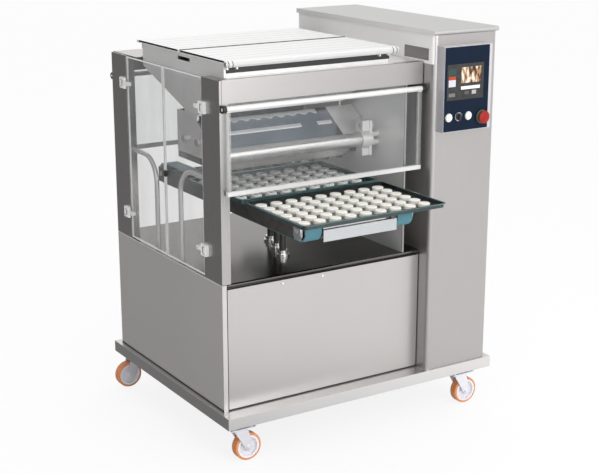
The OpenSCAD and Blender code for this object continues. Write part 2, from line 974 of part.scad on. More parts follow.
// Bent tubes behind the doors, from the deck up and over to the posts
module hoop(base_y, end_y, side) {
    bend_z = deck_z + hoop_rise - hoop_bend;
    rod_z(hoop_x, base_y, deck_z, bend_z, hoop_r);
    translate([hoop_x, base_y - side * hoop_bend, bend_z]) rotate([90, 0, 90])
        rotate([0, 0, side > 0 ? 0 : 90]) rotate_extrude(angle = 90)
            translate([hoop_bend, 0]) circle(hoop_r);
    rod_y(hoop_x, min(end_y, base_y - side * hoop_bend), max(end_y, base_y - side * hoop_bend),
        deck_z + hoop_rise, hoop_r);
}

module guard_hoops() {
    front_end = body_y0 + post_d;
    rear_end = body_y1 - post_d;
    color(bright) placed() {
        hoop(front_end + hoop_reach, front_end, 1);
        hoop(rear_end - hoop_rear_reach, rear_end, -1);
    }
}

// Slab for a hull, between two corners at one height
module slab(x0, y0, x1, y1, z) {
    span([x0, y0, z], [x1, y1, z + over]);
}

// Hopper: upright walls, a funnel down to the throat, and the lugs of the lids
module hopper() {
    color(steel) placed() difference() {
        union() {
            span([hop_x0, hop_y0, hop_wall_z], [hop_x1, hop_y1, hop_z1]);
            span([hop_x0, hop_y0 - hop_flange, frame_z + sheet_t],
                [hop_x1 + hop_flange, hop_y1 + hop_flange, frame_z + 2 * sheet_t]);
            hull() {
                slab(hop_x0, hop_y0, hop_x1, hop_y1, hop_wall_z);
                slab(throat_x0 - throat_lap, throat_y - throat_half - throat_lap,
                    throat_x1 + throat_lap, throat_y + throat_half + throat_lap, throat_z1);
            }
            span([throat_x0 - throat_lap, throat_y - throat_half - throat_lap, head_z1],
                [throat_x1 + throat_lap, throat_y + throat_half + throat_lap, throat_z1 + over]);
            lid_lugs(hop_y0, -1);
            lid_lugs(hop_y1, 1);
        }
        span([hop_x0 + sheet_t, hop_y0 + sheet_t, hop_wall_z + funnel_t],
            [hop_x1 - sheet_t, hop_y1 - sheet_t, hop_z1 + over]);
        hull() {
            slab(hop_x0 + sheet_t, hop_y0 + sheet_t, hop_x1 - sheet_t, hop_y1 - sheet_t, hop_wall_z + funnel_t);
            slab(throat_x0, throat_y - throat_half, throat_x1, throat_y + throat_half, throat_z1 + funnel_t);
        }
        span([throat_x0, throat_y - throat_half, head_z1 - over],
            [throat_x1, throat_y + throat_half, throat_z1 + funnel_t + over]);
        translate([0, lid_meet - handle_w / 2, frame_z + hop_rise / 2])
            span([hop_x0 - over, 0, 0], [hop_x0 + sheet_t + over, handle_w, handle_h]);
    }
}

// X places of the lid barrels, left and right
lid_barrels = [hop_x0 + lug_in + lug_w, hop_x1 - lug_in - lug_w - lug_span];

// Lugs on one hopper wall, with the pin between each pair
module lid_lugs(wall_y, side) {
    pin_y = wall_y + side * lid_pin_out;
    for (x = lid_barrels) {
        for (lug_x = [x - lug_w, x + lug_span])
            span([lug_x, min(wall_y, pin_y + side * lid_pin_r), lid_pin_z - 2 * lid_barrel_r],
                [lug_x + lug_w, max(wall_y, pin_y + side * lid_pin_r), lid_pin_z + lid_barrel_r - lug_low]);
        rod_x(x - lug_w, x + lug_span + lug_w, pin_y, lid_pin_z, lid_pin_r);
    }
}

// Lid leaf: a folded sheet with beads along it, a barrel at each hinge and, with a nose, a rolled edge
module lid_leaf(wall_y, free_y, side, nose) {
    pin_y = wall_y + side * lid_pin_out;
    hinge_y = pin_y + side * lid_barrel_r;
    roll_r = nose > 0 ? lid_roll_r : 0;
    edge_y = hinge_y + side * (nose - roll_r);
    lid_z0 = hop_z1 + seat;
    low_y = min(edge_y, free_y);
    high_y = max(edge_y, free_y);
    rim = sheet_t + lid_pin_out + lid_barrel_r + nose;
    bead_step = (high_y - low_y) / (lid_beads + 1);
    difference() {
        union() {
            span([hop_x0 - lid_side, low_y, lid_z0], [hop_x1 + lid_side, high_y, lid_z0 + lid_h]);
            for (x = lid_barrels) {
                rod_x(x + seat, x + lug_span - seat, pin_y, lid_pin_z, lid_barrel_r);
                span([x + seat, min(pin_y, hinge_y), lid_pin_z], [x + lug_span - seat, max(pin_y, hinge_y), lid_z0 + over]);
            }
            if (nose > 0)
                rod_x(hop_x0 - lid_side, hop_x1 + lid_side, edge_y, lid_z0 + lid_h - roll_r, roll_r);
        }
        for (x = lid_barrels)
            rod_x(x - over, x + lug_span + over, pin_y, lid_pin_z, lid_pin_r + fit);
        span([hop_x0 - lid_side + sheet_t, low_y + rim, lid_z0 - over],
            [hop_x1 + lid_side - sheet_t, high_y - rim, lid_z0 + lid_h - 2 * sheet_t]);
        for (i = [1:lid_beads])
            span([hop_x0 - lid_side - over, low_y + i * bead_step - lid_bead / 2, lid_z0 + lid_h - lid_bead_depth],
                [hop_x1 + lid_side + over, low_y + i * bead_step + lid_bead / 2, lid_z0 + lid_h + over]);
    }
}

module lid_front_leaf() {
    color(white) placed() lid_leaf(hop_y0, lid_meet - lid_gap / 2, -1, lid_nose);
}

module lid_rear_leaf() {
    color(white) placed() lid_leaf(hop_y1, lid_meet + lid_gap / 2, 1, 0);
}

// Head side plates with the roller bearings' bores, and the brackets of the clamp beam
module head_plate(x0) {
    difference() {
        along_x(x0, x0 + head_plate_t)
            polygon([[head_y0, die_z1], [head_y0, nose_z], [neck_y, neck_z], [neck_y, head_z1],
                [head_y1, head_z1], [head_y1, die_z1]]);
        for (y = roller_y)
            rod_x(x0 - over, x0 + head_plate_t + over, y, roller_z, shaft_r + fit);
    }
}

module beam_bracket(x0) {
    difference() {
        span([x0, beam_y - bracket_r, beam_z - bracket_low], [x0 + bracket_t, head_y0, beam_z + bracket_high]);
        rod_x(x0 - over, x0 + bracket_t + over, beam_y, beam_z + screw_up, screw_r + fit);
    }
}

// Collar round the beam's right end, with a clamp block over it and one under it
module beam_collar() {
    face_x = beam_x1 + bracket_t;
    difference() {
        union() {
            rod_x(face_x - ring_l, face_x, beam_y, beam_z, beam_r + ring_w);
            span([face_x - clamp_l, beam_y - clamp_half, beam_z + clamp_up],
                [face_x, beam_y + clamp_half, beam_z + bracket_high]);
            span([face_x - clamp_l, beam_y - clamp_half, beam_z - bracket_low],
                [face_x, beam_y + clamp_half, beam_z - clamp_up]);
        }
        rod_x(face_x - ring_l - over, beam_x1, beam_y, beam_z, beam_r + fit);
        rod_x(face_x - clamp_l - over, face_x + over, beam_y, beam_z + screw_up, screw_r + fit);
    }
}

module head_side_plates() {
    color(steel) placed() {
        head_plate(head_x0);
        head_plate(head_x1 - head_plate_t);
        beam_bracket(head_x0);
        beam_bracket(beam_x1);
        beam_collar();
        for (z = [beam_z - stud_gap, beam_z + stud_gap])
            rod_x(beam_x1 + bracket_t, wall_x, beam_y, z, stud_r);
    }
}

// Sloped covers in front of the head, and the plate that closes its back
module slope_cover(x0, x1) {
    slope = sqrt(head_run * head_run + head_climb * head_climb);
    rise = cover_t * head_run / slope;
    back = cover_t * head_climb / slope;
    low_y = head_y0 + cover_lap;
    low_z = nose_z + cover_lap * head_climb / head_run;
    along_x(x0, x1)
        polygon([[low_y, low_z], [neck_y, neck_z], [neck_y - back, neck_z + rise], [low_y - back, low_z + rise]]);
}

module head_covers() {
    split_x = head_x0 + head_w * mirror_share;
    color("slategray") placed() {
        slope_cover(head_x0, split_x);
        slope_cover(split_x + seat, wall_x - slack);
        span([head_x0, head_y1, die_z1], [head_x1, head_y1 + cover_t, head_z1]);
    }
}

// Straight-flanked gear teeth as an outline
function polar(r, a) = [r * cos(a), r * sin(a)];
function gear_outline() = [
    for (i = [0:teeth - 1])
        let (a = i * 360 / teeth, root = root_share * 360 / teeth, tip = tip_share * 360 / teeth)
            for (p = [[gear_pitch_r - gear_ded, -root], [gear_pitch_r + gear_add, -tip],
                [gear_pitch_r + gear_add, tip], [gear_pitch_r - gear_ded, root]])
                polar(p[0], a + p[1])
];

// Feed roller: fluted drum on its shaft, with the gear that ties the two rollers
module feed_roller(y, turn) {
    x0 = head_x0 + head_plate_t + roller_end;
    x1 = head_x1 - head_plate_t - roller_end;
    color(bright) placed() {
        translate([0, y, roller_z]) {
            along_x(x0, x1) difference() {
                circle(roller_r);
                for (i = [0:flutes - 1])
                    rotate(i * 360 / flutes + turn) translate([roller_r, 0]) circle(flute_r);
            }
            along_x(gear_x0, gear_x0 + gear_w) difference() {
                rotate(turn) polygon(gear_outline());
                circle(shaft_r);
            }
        }
        rod_x(head_x0 - shaft_out, gear_x0 + gear_w + gear_off, y, roller_z, shaft_r);
    }
}

module front_feed_roller() {
    feed_roller(roller_y[0], 0);
}

module rear_feed_roller() {
    feed_roller(roller_y[1], 180 / teeth);
}

// Nozzle block: the die with its dough gallery, the nozzle plate and the nozzles
function nozzle_x(i) = line_x + (i - (nozzles - 1) / 2) * nozzle_pitch;

module nozzle_block() {
    plate_half = (nozzles - 1) / 2 * nozzle_pitch;
    plate_z = die_z0 - nozzle_plate_h;
    color(bright) placed() difference() {
        union() {
            span([head_x0, head_y0 + die_front, die_z0], [head_x1, head_y1, die_z1]);
            span([line_x - plate_half, nozzle_y - nozzle_plate_r, plate_z],
                [line_x + plate_half, nozzle_y + nozzle_plate_r, die_z0]);
            for (x = [line_x - plate_half, line_x + plate_half])
                rod_z(x, nozzle_y, plate_z, die_z0, nozzle_plate_r);
            for (i = [0:nozzles - 1])
                translate([nozzle_x(i), nozzle_y, plate_z - nozzle_h])
                    cylinder(r1 = nozzle_r * nozzle_tip_share, r2 = nozzle_r, h = nozzle_h);
        }
        span([head_x0 + head_plate_t, throat_y - slot_w / 2, die_z0 + gallery_up],
            [head_x1 - head_plate_t, throat_y + slot_w / 2, die_z1 + over]);
        span([head_x0 + head_plate_t, nozzle_y - slot_w / 2, die_z0 + gallery_up],
            [head_x1 - head_plate_t, throat_y + slot_w / 2, die_z0 + gallery_up + gallery_h]);
        for (i = [0:nozzles - 1])
            rod_z(nozzle_x(i), nozzle_y, plate_z - nozzle_h - over, die_z0 + gallery_up + over, nozzle_bore_r);
    }
}

// Clamp beam between the brackets, and the screws that hold it
module clamp_beam() {
    color(bright) placed() rod_x(beam_x0, beam_x1, beam_y, beam_z, beam_r);
}

module clamp_knob(face_x, side) {
    translate([face_x, beam_y, beam_z + screw_up]) scale([side, 1, 1]) {
        rod_x(-screw_tail, seat, 0, 0, screw_r);
        rod_x(seat, seat + screw_head_t, 0, 0, screw_head_r / 2);
        span([seat + screw_head_t / 2, -screw_head_r, -screw_r], [seat + screw_head_t, screw_head_r, screw_r]);
    }
}

module clamp_knob_left() {
    color(steel) placed() clamp_knob(head_x0, -1);
}

module clamp_knob_right() {
    color(steel) placed() clamp_knob(beam_x1 + bracket_t, 1);
}

// Lift: a cylinder and two guide bushes that stand on the deck and reach through it
module sleeve(x, y, bore_r, outer_r, down, floor_h) {
    difference() {
        union() {
            rod_z(x, y, deck_z - down, deck_z + bush_up, outer_r);
            rod_z(x, y, deck_z, deck_z + flange_h, outer_r + flange_w);
        }
        rod_z(x, y, deck_z - down + floor_h, deck_z + bush_up + over, bore_r + fit);
    }
}

module lift_cylinders() {
    color(steel) placed() {
        for (p = guide_places)
            sleeve(p[0], p[1], guide_d / 2, guide_d / 2 + bush_wall, bush_down, -over);
        sleeve(line_x, lift_y, piston_d / 2, piston_d / 2 + piston_wall, piston_down, piston_floor);
    }
}

// Conveyor frame: two outer and two inner rails on cross tubes, the front plate and the lift plate
module side_rail(x, t, y0) {
    along_x(x, x + t)
        polygon([[y0 + rail_nose, line_z - rail_down], [y0, line_z - rail_down + rail_nose], [y0, line_z],
            [y0 + rail_nose, line_z + rail_up], [line_y1 + bearing_r, line_z + rail_up],
            [line_y1 + bearing_r, line_z - rail_down]]);
}

belt_in = rail_plate_t + belt_side;
inner_in = belt_in + belt_w + belt_side;
line_x1 = line_x + line_w / 2;
outer_rails = [line_x0, line_x1 - rail_plate_t];
inner_rails = [line_x0 + inner_in, line_x1 - inner_in - inner_plate_t];

module conveyor_frame() {
    plate_x0 = inner_rails[0];
    plate_x1 = inner_rails[1] + inner_plate_t;
    color(dark) placed() {
        difference() {
            union() {
                for (x = outer_rails)
                    side_rail(x, rail_plate_t, line_y0 - bearing_r);
                for (x = inner_rails)
                    side_rail(x, inner_plate_t, line_y0 - belt_r);
                for (x = [line_x0 - bearing_t, line_x1 - rail_plate_t])
                    rod_x(x, x + rail_plate_t + bearing_t, line_y0, line_z, bearing_r);
                for (s = cross_shares)
                    rod_x(line_x0, line_x1, line_y0 + (line_y1 - line_y0) * s, line_z, cross_r);
            }
            for (y = [line_y0, line_y1])
                rod_x(line_x0 - bearing_t - over, line_x1 + bearing_t + over, y, line_z, pulley_shaft_r + fit);
        }
        span([plate_x0, line_y0 - belt_r - sheet_t, line_z - rail_down - rail_nose / 2],
            [plate_x1, line_y0 - belt_r, line_z - rail_down - rail_nose / 2 + front_plate_h]);
        span([plate_x0, lift_y - lift_plate_d / 2, lift_z1 - lift_plate_t],
            [plate_x1, lift_y + lift_plate_d / 2, lift_z1]);
        for (p = guide_places)
            rod_z(p[0], p[1], rod_end_z, lift_z1, guide_d / 2);
        rod_z(line_x, lift_y, rod_end_z, lift_z1, piston_d / 2);
    }
}

// X places of the belts
belt_xs = [line_x0 + belt_in, line_x1 - belt_in - belt_w];

// Closed loop outline of a belt round its two pulleys
module loop_outline(r) {
    translate([line_y0, line_z - r]) square([line_y1 - line_y0, 2 * r]);
    for (y = [line_y0, line_y1])
        translate([y, line_z]) circle(r);
}

module belts() {
    color("steelblue") placed()
        for (x = belt_xs)
            along_x(x, x + belt_w) difference() {
                loop_outline(belt_r);
                loop_outline(belt_r - belt_t);
            }
}

// Pulley shafts with a pulley in each belt
module pulley_shaft(y) {
    color(steel) placed() {
        for (x = belt_xs)
            rod_x(x + pulley_in, x + belt_w - pulley_in, y, line_z, pulley_d / 2);
        rod_x(line_x0 - shaft_proud, line_x1 + shaft_proud, y, line_z, pulley_shaft_r);
    }
}

module front_pulleys() {
    pulley_shaft(line_y0);
}

module rear_pulleys() {
    pulley_shaft(line_y1);
}

// Tray: a shallow pan with round corners and a turned-out rim
module tray(y0) {
    wall_in = tray_lip + tray_t;
    color(black) placed() translate([tray_x0, y0, tray_z0]) difference() {
        union() {
            translate([tray_lip, tray_lip, 0]) linear_extrude(tray_h)
                round_rect(tray_w - 2 * tray_lip, tray_d - 2 * tray_lip, tray_corner - tray_lip);
            translate([0, 0, tray_h - tray_t]) linear_extrude(tray_t) round_rect(tray_w, tray_d, tray_corner);
        }
        translate([wall_in, wall_in, tray_t]) linear_extrude(tray_h)
            round_rect(tray_w - 2 * wall_in, tray_d - 2 * wall_in, tray_corner - wall_in);
    }
}

module front_tray() {
    tray(tray_ys[0]);
}

module inner_tray() {
    tray(tray_ys[1]);
}

// Dough rounds in rows on a tray, flat or with a dimple
module dough_profile(dimple) {
    r = dough_d / 2;
    difference() {
        union() {
            square([r - dough_round, dough_h]);
            square([r, dough_h - dough_round]);
            translate([r - dough_round, dough_h - dough_round]) circle(dough_round);
        }
        if (dimple)
            translate([0, dough_h]) circle(r * dough_dimple_share);
        translate([-over - r, -over]) square([over + r, dough_h + 2 * over]);
        translate([-over, -over - dough_round]) square([dough_d, over + dough_round]);
    }
}

module dough(y0, dimple) {
    color("cornsilk") placed() translate([tray_x0 + dough_side, y0 + dough_front, tray_z0 + tray_t])
        for (i = [0:dough_cols - 1], j = [0:dough_rows - 1])
            translate([i * dough_step_x, j * dough_step_y, 0])
                rotate_extrude($fn = 32) dough_profile(dimple);
}

module front_dough() {
    dough(tray_ys[0], false);
}

module inner_dough() {
    dough(tray_ys[1], true);
}

base_rail();
left_lower_panel();
front_lower_panel();
rear_lower_panel();
deck_plate();
front_left_post();
rear_left_post();
front_top_cover();
rear_top_cover();
right_inner_wall();
column_shell();
column_cap();
control_box();
control_glass();
button_collars();
start_button();
selector_knob();
stop_button();
emergency_stop();
castor_plates();
castor_fork_fl();
castor_fork_fr();
castor_fork_rl();
castor_fork_rr();
castor_wheel_fl();
castor_wheel_fr();
castor_wheel_rl();
castor_wheel_rr();
guard_hinge_blocks();
front_guard();
front_guard_bar();
rear_guard();
rear_guard_bar();
door_hinge_bases();
front_door();
front_door_hinges();
rear_door();
rear_door_hinges();
door_knob();
guard_hoops();
hopper();
lid_front_leaf();
lid_rear_leaf();
head_side_plates();
head_covers();
front_feed_roller();
rear_feed_roller();
nozzle_block();
clamp_beam();
clamp_knob_left();
clamp_knob_right();
lift_cylinders();
conveyor_frame();
belts();
front_pulleys();
rear_pulleys();
front_tray();
inner_tray();
front_dough();
inner_dough();
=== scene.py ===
import math

import bmesh
import bpy
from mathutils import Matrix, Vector


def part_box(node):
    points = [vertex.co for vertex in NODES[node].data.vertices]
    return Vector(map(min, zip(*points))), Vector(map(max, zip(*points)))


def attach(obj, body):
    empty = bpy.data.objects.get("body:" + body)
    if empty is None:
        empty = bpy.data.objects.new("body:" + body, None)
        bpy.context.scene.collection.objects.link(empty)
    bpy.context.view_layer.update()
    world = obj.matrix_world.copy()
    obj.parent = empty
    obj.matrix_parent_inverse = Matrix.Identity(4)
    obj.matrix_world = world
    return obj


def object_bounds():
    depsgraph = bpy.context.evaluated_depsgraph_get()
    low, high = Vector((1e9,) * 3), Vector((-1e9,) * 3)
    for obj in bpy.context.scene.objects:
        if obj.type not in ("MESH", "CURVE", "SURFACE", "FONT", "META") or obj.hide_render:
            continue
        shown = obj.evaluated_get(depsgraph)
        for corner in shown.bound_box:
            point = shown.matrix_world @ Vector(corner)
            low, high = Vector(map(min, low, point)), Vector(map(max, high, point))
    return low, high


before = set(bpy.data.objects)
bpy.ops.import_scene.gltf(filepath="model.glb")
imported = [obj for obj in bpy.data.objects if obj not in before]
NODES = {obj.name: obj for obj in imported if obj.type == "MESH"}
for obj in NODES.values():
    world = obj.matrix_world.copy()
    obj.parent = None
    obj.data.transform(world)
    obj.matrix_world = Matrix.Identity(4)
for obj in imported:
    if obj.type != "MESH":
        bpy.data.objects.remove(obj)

CAD_LOW, CAD_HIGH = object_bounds()
MM = 0.001
CORNERS = ("fl", "fr", "rl", "rr")

# Directions
OUT_LEFT = Vector((-1, 0, 0))
OUT_RIGHT = Vector((1, 0, 0))
OUT_FRONT = Vector((0, -1, 0))
OUT_BACK = Vector((0, 1, 0))
DOWN = Vector((0, 0, -1))

# Noise scales of the finishes along X, Y and Z, small along the brush strokes
UPRIGHT = (240.0, 240.0, 2.5)
LEVEL_X = (2.5, 240.0, 240.0)
LEVEL_Y = (240.0, 2.5, 240.0)
RAIL = (240.0, 20.0, 240.0)
EVEN = (700.0, 700.0, 700.0)
TURNED = (30.0, 300.0, 300.0)
PLATED = (120.0, 120.0, 120.0)

# Relief depth of the finishes, and the radius that edges are rounded to
STROKE_DEPTH = 0.02 * MM
POLISHED_DEPTH = 0.003 * MM
MIRROR_DEPTH = 0.004 * MM
DECK_DEPTH = 0.006 * MM
MOULDED_DEPTH = 0.03 * MM
GLASS_DEPTH = 0.002 * MM
EDGE_ROUND = 0.8 * MM

# Sizes of CAD nodes that the looks and the pieces follow
LID_BEADS = 5
LID_ROLL_RADIUS = 11 * MM
MIRROR_LENGTH = 559 * MM
SLOT_DROP = 60 * MM


def scaled(color, factor):
    """Colour made darker or lighter, at most white."""
    return tuple(min(c * factor, 1) for c in color)


# Small node-tree builder for the materials
class Shader:
    def __init__(self, name, color, roughness, metallic=0.0):
        self.material = bpy.data.materials.new(name)
        self.material.use_nodes = True
        self.tree = self.material.node_tree
        self.bsdf = self.tree.nodes["Principled BSDF"]
        self.output = self.tree.nodes["Material Output"]
        self.bsdf.inputs["Base Color"].default_value = (*color, 1)
        self.bsdf.inputs["Roughness"].default_value = roughness
        self.bsdf.inputs["Metallic"].default_value = metallic
        self.color = color
        self.place = self.node("ShaderNodeTexCoord").outputs["Object"]

    def node(self, kind, **settings):
        made = self.tree.nodes.new(kind)
        for key, value in settings.items():
            setattr(made, key, value)
        return made

    def link(self, source, socket):
        """Feeds a socket from a number, a colour or another socket."""
        if isinstance(source, (int, float)):
            socket.default_value = source
        elif isinstance(source, (tuple, list)):
            socket.default_value = source if len(source) == len(socket.default_value) else (*source, 1)
        else:
            self.tree.links.new(source, socket)

    def math(self, operation, a, b=0.0, c=0.0):
        made = self.node("ShaderNodeMath", operation=operation)
        for socket, value in zip(made.inputs, (a, b, c)):
            self.link(value, socket)
        return made.outputs[0]

    def chain(self, operation, *values):
        """Takes one operation through several values."""
        result = values[0]
        for value in values[1:]:
            result = self.math(operation, result, value)
        return result

    def weigh(self, a, b, share):
        """Mean of two values, the first with that share."""
        return self.math("MULTIPLY_ADD", a, share, self.math("MULTIPLY", b, 1 - share))

    def split(self, vector):
        made = self.node("ShaderNodeSeparateXYZ")
        self.link(vector, made.inputs[0])
        return made.outputs

    def normal(self, axis):
        """One component of the surface normal."""
        return self.split(self.node("ShaderNodeTexCoord").outputs["Normal"])[axis]

    def stretch(self, scale):
        made = self.node("ShaderNodeMapping")
        made.inputs["Scale"].default_value = scale
        self.link(self.place, made.inputs["Vector"])
        return made.outputs[0]

    def noise(self, scale, detail=3.0, rough=0.55, vector=None):
        made = self.node("ShaderNodeTexNoise")
        made.inputs["Scale"].default_value = scale
        made.inputs["Detail"].default_value = detail
        made.inputs["Roughness"].default_value = rough
        self.link(vector or self.place, made.inputs["Vector"])
        return made.outputs["Fac"]

    def strokes(self, grain):
        """Brush strokes along the axis that grain scales least."""
        return self.noise(1.0, 4.0, 0.7, self.stretch(grain))

    def ramp(self, value, low, high, to_low=0.0, to_high=1.0, smooth=False):
        made = self.node("ShaderNodeMapRange", interpolation_type="SMOOTHSTEP" if smooth else "LINEAR")
        limits = {"From Min": low, "From Max": high, "To Min": to_low, "To Max": to_high}
        for name, number in limits.items():
            made.inputs[name].default_value = number
        self.link(value, made.inputs["Value"])
        return made.outputs["Result"]

    def mix(self, factor, a, b):
        """Mix of two colours."""
        made = self.node("ShaderNodeMix", data_type="RGBA")
        self.link(factor, made.inputs[0])
        self.link(a, made.inputs[6])
        self.link(b, made.inputs[7])
        return made.outputs[2]

    def blend(self, share, first, second):
        """Mix of two shaders."""
        made = self.node("ShaderNodeMixShader")
        self.link(share, made.inputs["Fac"])
        self.link(first, made.inputs[1])
        self.link(second, made.inputs[2])
        return made.outputs[0]

    def through(self, tint):
        """Shader of clear plastic in that tint."""
        made = self.node("ShaderNodeBsdfTransparent")
        made.inputs["Color"].default_value = (*tint, 1)
        return made.outputs[0]

    def surface(self, shader):
        self.link(shader, self.output.inputs["Surface"])

    def base(self, color):
        self.link(color, self.bsdf.inputs["Base Color"])

    def tone(self, factor, spread):
        """Base colour that wanders by spread to the dark and to the light side."""
        self.base(self.mix(factor, scaled(self.color, 1 - spread), scaled(self.color, 1 + spread)))

    def rough(self, factor, low, high):
        self.link(self.ramp(factor, 0.3, 0.7, low, high), self.bsdf.inputs["Roughness"])

    def relief(self, height, depth, edge=0.0):
        """Bump of that depth in metres, with edges rounded to that radius."""
        bump = self.node("ShaderNodeBump")
        bump.inputs["Strength"].default_value = 1.0
        bump.inputs["Distance"].default_value = depth
        self.link(height, bump.inputs["Height"])
        if edge:
            bevel = self.node("ShaderNodeBevel", samples=4)
            bevel.inputs["Radius"].default_value = edge
            self.link(bevel.outputs[0], bump.inputs["Normal"])
        self.link(bump.outputs[0], self.bsdf.inputs["Normal"])


# Materials
def brushed(name, color, roughness, grain, spread=0.05, depth=STROKE_DEPTH, cloud=2.4, metallic=1.0):
    """Ground sheet steel."""
    s = Shader(name, color, roughness, metallic)
    strokes = s.strokes(grain)
    clouds = s.noise(cloud, 3.0, 0.5)
    s.tone(s.weigh(strokes, clouds, 0.6), spread)
    s.rough(s.weigh(strokes, clouds, 0.5), roughness - 0.05, roughness + 0.08)
    s.relief(strokes, depth, EDGE_ROUND)
    return s.material


def placed_sheet(name, roughness, grain, first, second, axis, edge, depth=STROKE_DEPTH, faces=None):
    """Sheet in two finishes, each a (color, metallic) pair, that change where the axis passes edge.

    With faces, an (axis, sign) pair, the second finish is only on the faces that look that way; there it is
    painted light, a lighter or darker side in place of how the light falls on it."""
    s = Shader(name, first[0], roughness, first[1])
    border = 0.5 * MM
    strokes = s.strokes(grain)
    grains = s.weigh(strokes, s.noise(2.4, 3.0, 0.5), 0.6)
    past = s.ramp(s.split(s.place)[axis], edge - border, edge + border)
    if faces:
        outward = s.math("MULTIPLY", s.normal(faces[0]), faces[1])
        past = s.math("MULTIPLY", past, s.math("GREATER_THAN", outward, 0.7))
    tones = [s.mix(grains, scaled(color, 0.95), scaled(color, 1.05)) for color, _ in (first, second)]
    s.base(s.mix(past, *tones))
    s.link(s.ramp(past, 0.0, 1.0, first[1], second[1]), s.bsdf.inputs["Metallic"])
    s.rough(grains, roughness - 0.05, roughness + 0.08)
    s.relief(strokes, depth, EDGE_ROUND)
    return s.material


def plastic(name, color, roughness, grain=900.0, depth=MOULDED_DEPTH, spread=0.06, shine=0.5):
    """Moulded plastic or rubber."""
    s = Shader(name, color, roughness)
    fine = s.noise(grain, 2.0)
    s.tone(s.noise(30.0, 3.0), spread)
    s.rough(fine, roughness - 0.04, roughness + 0.06)
    s.relief(fine, depth, EDGE_ROUND)
    s.bsdf.inputs["Specular IOR Level"].default_value = shine
    return s.material


def clear_sheet(name, tint, haze_share, across):
    """Clear plastic: sees through, mirrors at a slant, white on its cut edges.

    Its thin axis has the index across."""
    s = Shader(name, (0.93, 0.93, 0.93), 0.05, 0.45)
    haze = s.noise(1.0, 4.0, 0.6, s.stretch((9.0, 9.0, 1.6)))
    s.rough(haze, 0.03, 0.10)
    slant = s.node("ShaderNodeLayerWeight")
    slant.inputs["Blend"].default_value = 0.5
    mirror_share = s.math("MULTIPLY_ADD", s.math("POWER", slant.outputs["Facing"], 5.0), 0.7, 0.035)
    share = s.math("ADD", mirror_share, s.ramp(haze, 0.35, 0.75, 0.0, haze_share))
    glass = s.blend(share, s.through(tint), s.bsdf.outputs[0])
    cut = s.node("ShaderNodeBsdfPrincipled")
    cut.inputs["Base Color"].default_value = (0.90, 0.91, 0.91, 1)
    cut.inputs["Roughness"].default_value = 0.35
    on_edge = s.math("LESS_THAN", s.math("ABSOLUTE", s.normal(across)), 0.5)
    s.surface(s.blend(s.math("MULTIPLY", on_edge, 0.9), glass, cut.outputs[0]))
    return s.material


def guard_frame_look(node):
    """Guard frame: a white metal bar, a milky lip and clear side strips."""
    bar_height = 21 * MM
    lip_height = 16 * MM
    low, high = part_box(node)
    s = Shader("look_" + node, (0.74, 0.74, 0.735), 0.34, 0.15)
    _, _, z = s.split(s.place)
    strokes = s.strokes(LEVEL_X)
    s.tone(strokes, 0.03)
    s.rough(strokes, 0.28, 0.42)
    s.relief(strokes, STROKE_DEPTH, EDGE_ROUND)
    in_bar = s.math("GREATER_THAN", z, high.z - bar_height)
    in_lip = s.math("LESS_THAN", z, low.z + lip_height)
    milky_share = s.math("MULTIPLY_ADD", in_lip, 0.72, s.ramp(strokes, 0.2, 0.8, 0.16, 0.24))
    share = s.math("MAXIMUM", in_bar, milky_share)
    s.surface(s.blend(share, s.through((0.97, 0.975, 0.975)), s.bsdf.outputs[0]))
    return s.material


def lid_look(node):
    """White lid sheet, with painted shade along the bead grooves."""
    low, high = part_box(node)
    s = Shader("look_" + node, (0.80, 0.80, 0.795), 0.48, 0.15)
    _, y, _ = s.split(s.place)
    strokes = s.strokes(LEVEL_X)
    along = s.math("FRACT", s.math("MULTIPLY", s.ramp(y, low.y, high.y), LID_BEADS + 1))
    # Painted shade: a mid grey along the bead grooves, where shade would fall.
    bead_shade = s.ramp(s.math("ABSOLUTE", s.math("SUBTRACT", along, 0.5)), 0.42, 0.48)
    tone = s.mix(strokes, (0.77, 0.77, 0.765), (0.83, 0.83, 0.825))
    s.base(s.mix(s.math("MULTIPLY", bead_shade, 0.55), tone, (0.42, 0.42, 0.42)))
    s.rough(strokes, 0.38, 0.52)
    s.relief(strokes, STROKE_DEPTH, EDGE_ROUND)
    return s.material


def wheel_look(node):
    """Pale hub and orange tyre, told apart by the distance from the axle."""
    hub_radius = 44 * MM
    border = 0.3 * MM
    scuff_depth = 0.08 * MM
    tyre = (0.78, 0.30, 0.12)
    hub = (0.80, 0.79, 0.83)
    low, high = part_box(node)
    centre = (low + high) / 2
    s = Shader("look_" + node, tyre, 0.42)
    x, _, z = s.split(s.place)
    across = s.math("SUBTRACT", x, centre.x)
    up = s.math("SUBTRACT", z, centre.z)
    radius = s.math("SQRT", s.math("MULTIPLY_ADD", across, across, s.math("MULTIPLY", up, up)))
    in_tyre = s.ramp(radius, hub_radius - border, hub_radius + border)
    scuffs = s.noise(140.0, 4.0, 0.65)
    tyre_tone = s.mix(s.ramp(scuffs, 0.35, 0.75), tyre, scaled(tyre, 0.72))
    hub_tone = s.mix(s.ramp(scuffs, 0.45, 0.8), hub, scaled(hub, 0.86))
    s.base(s.mix(in_tyre, hub_tone, tyre_tone))
    s.rough(scuffs, 0.34, 0.52)
    s.relief(scuffs, scuff_depth, EDGE_ROUND)
    return s.material


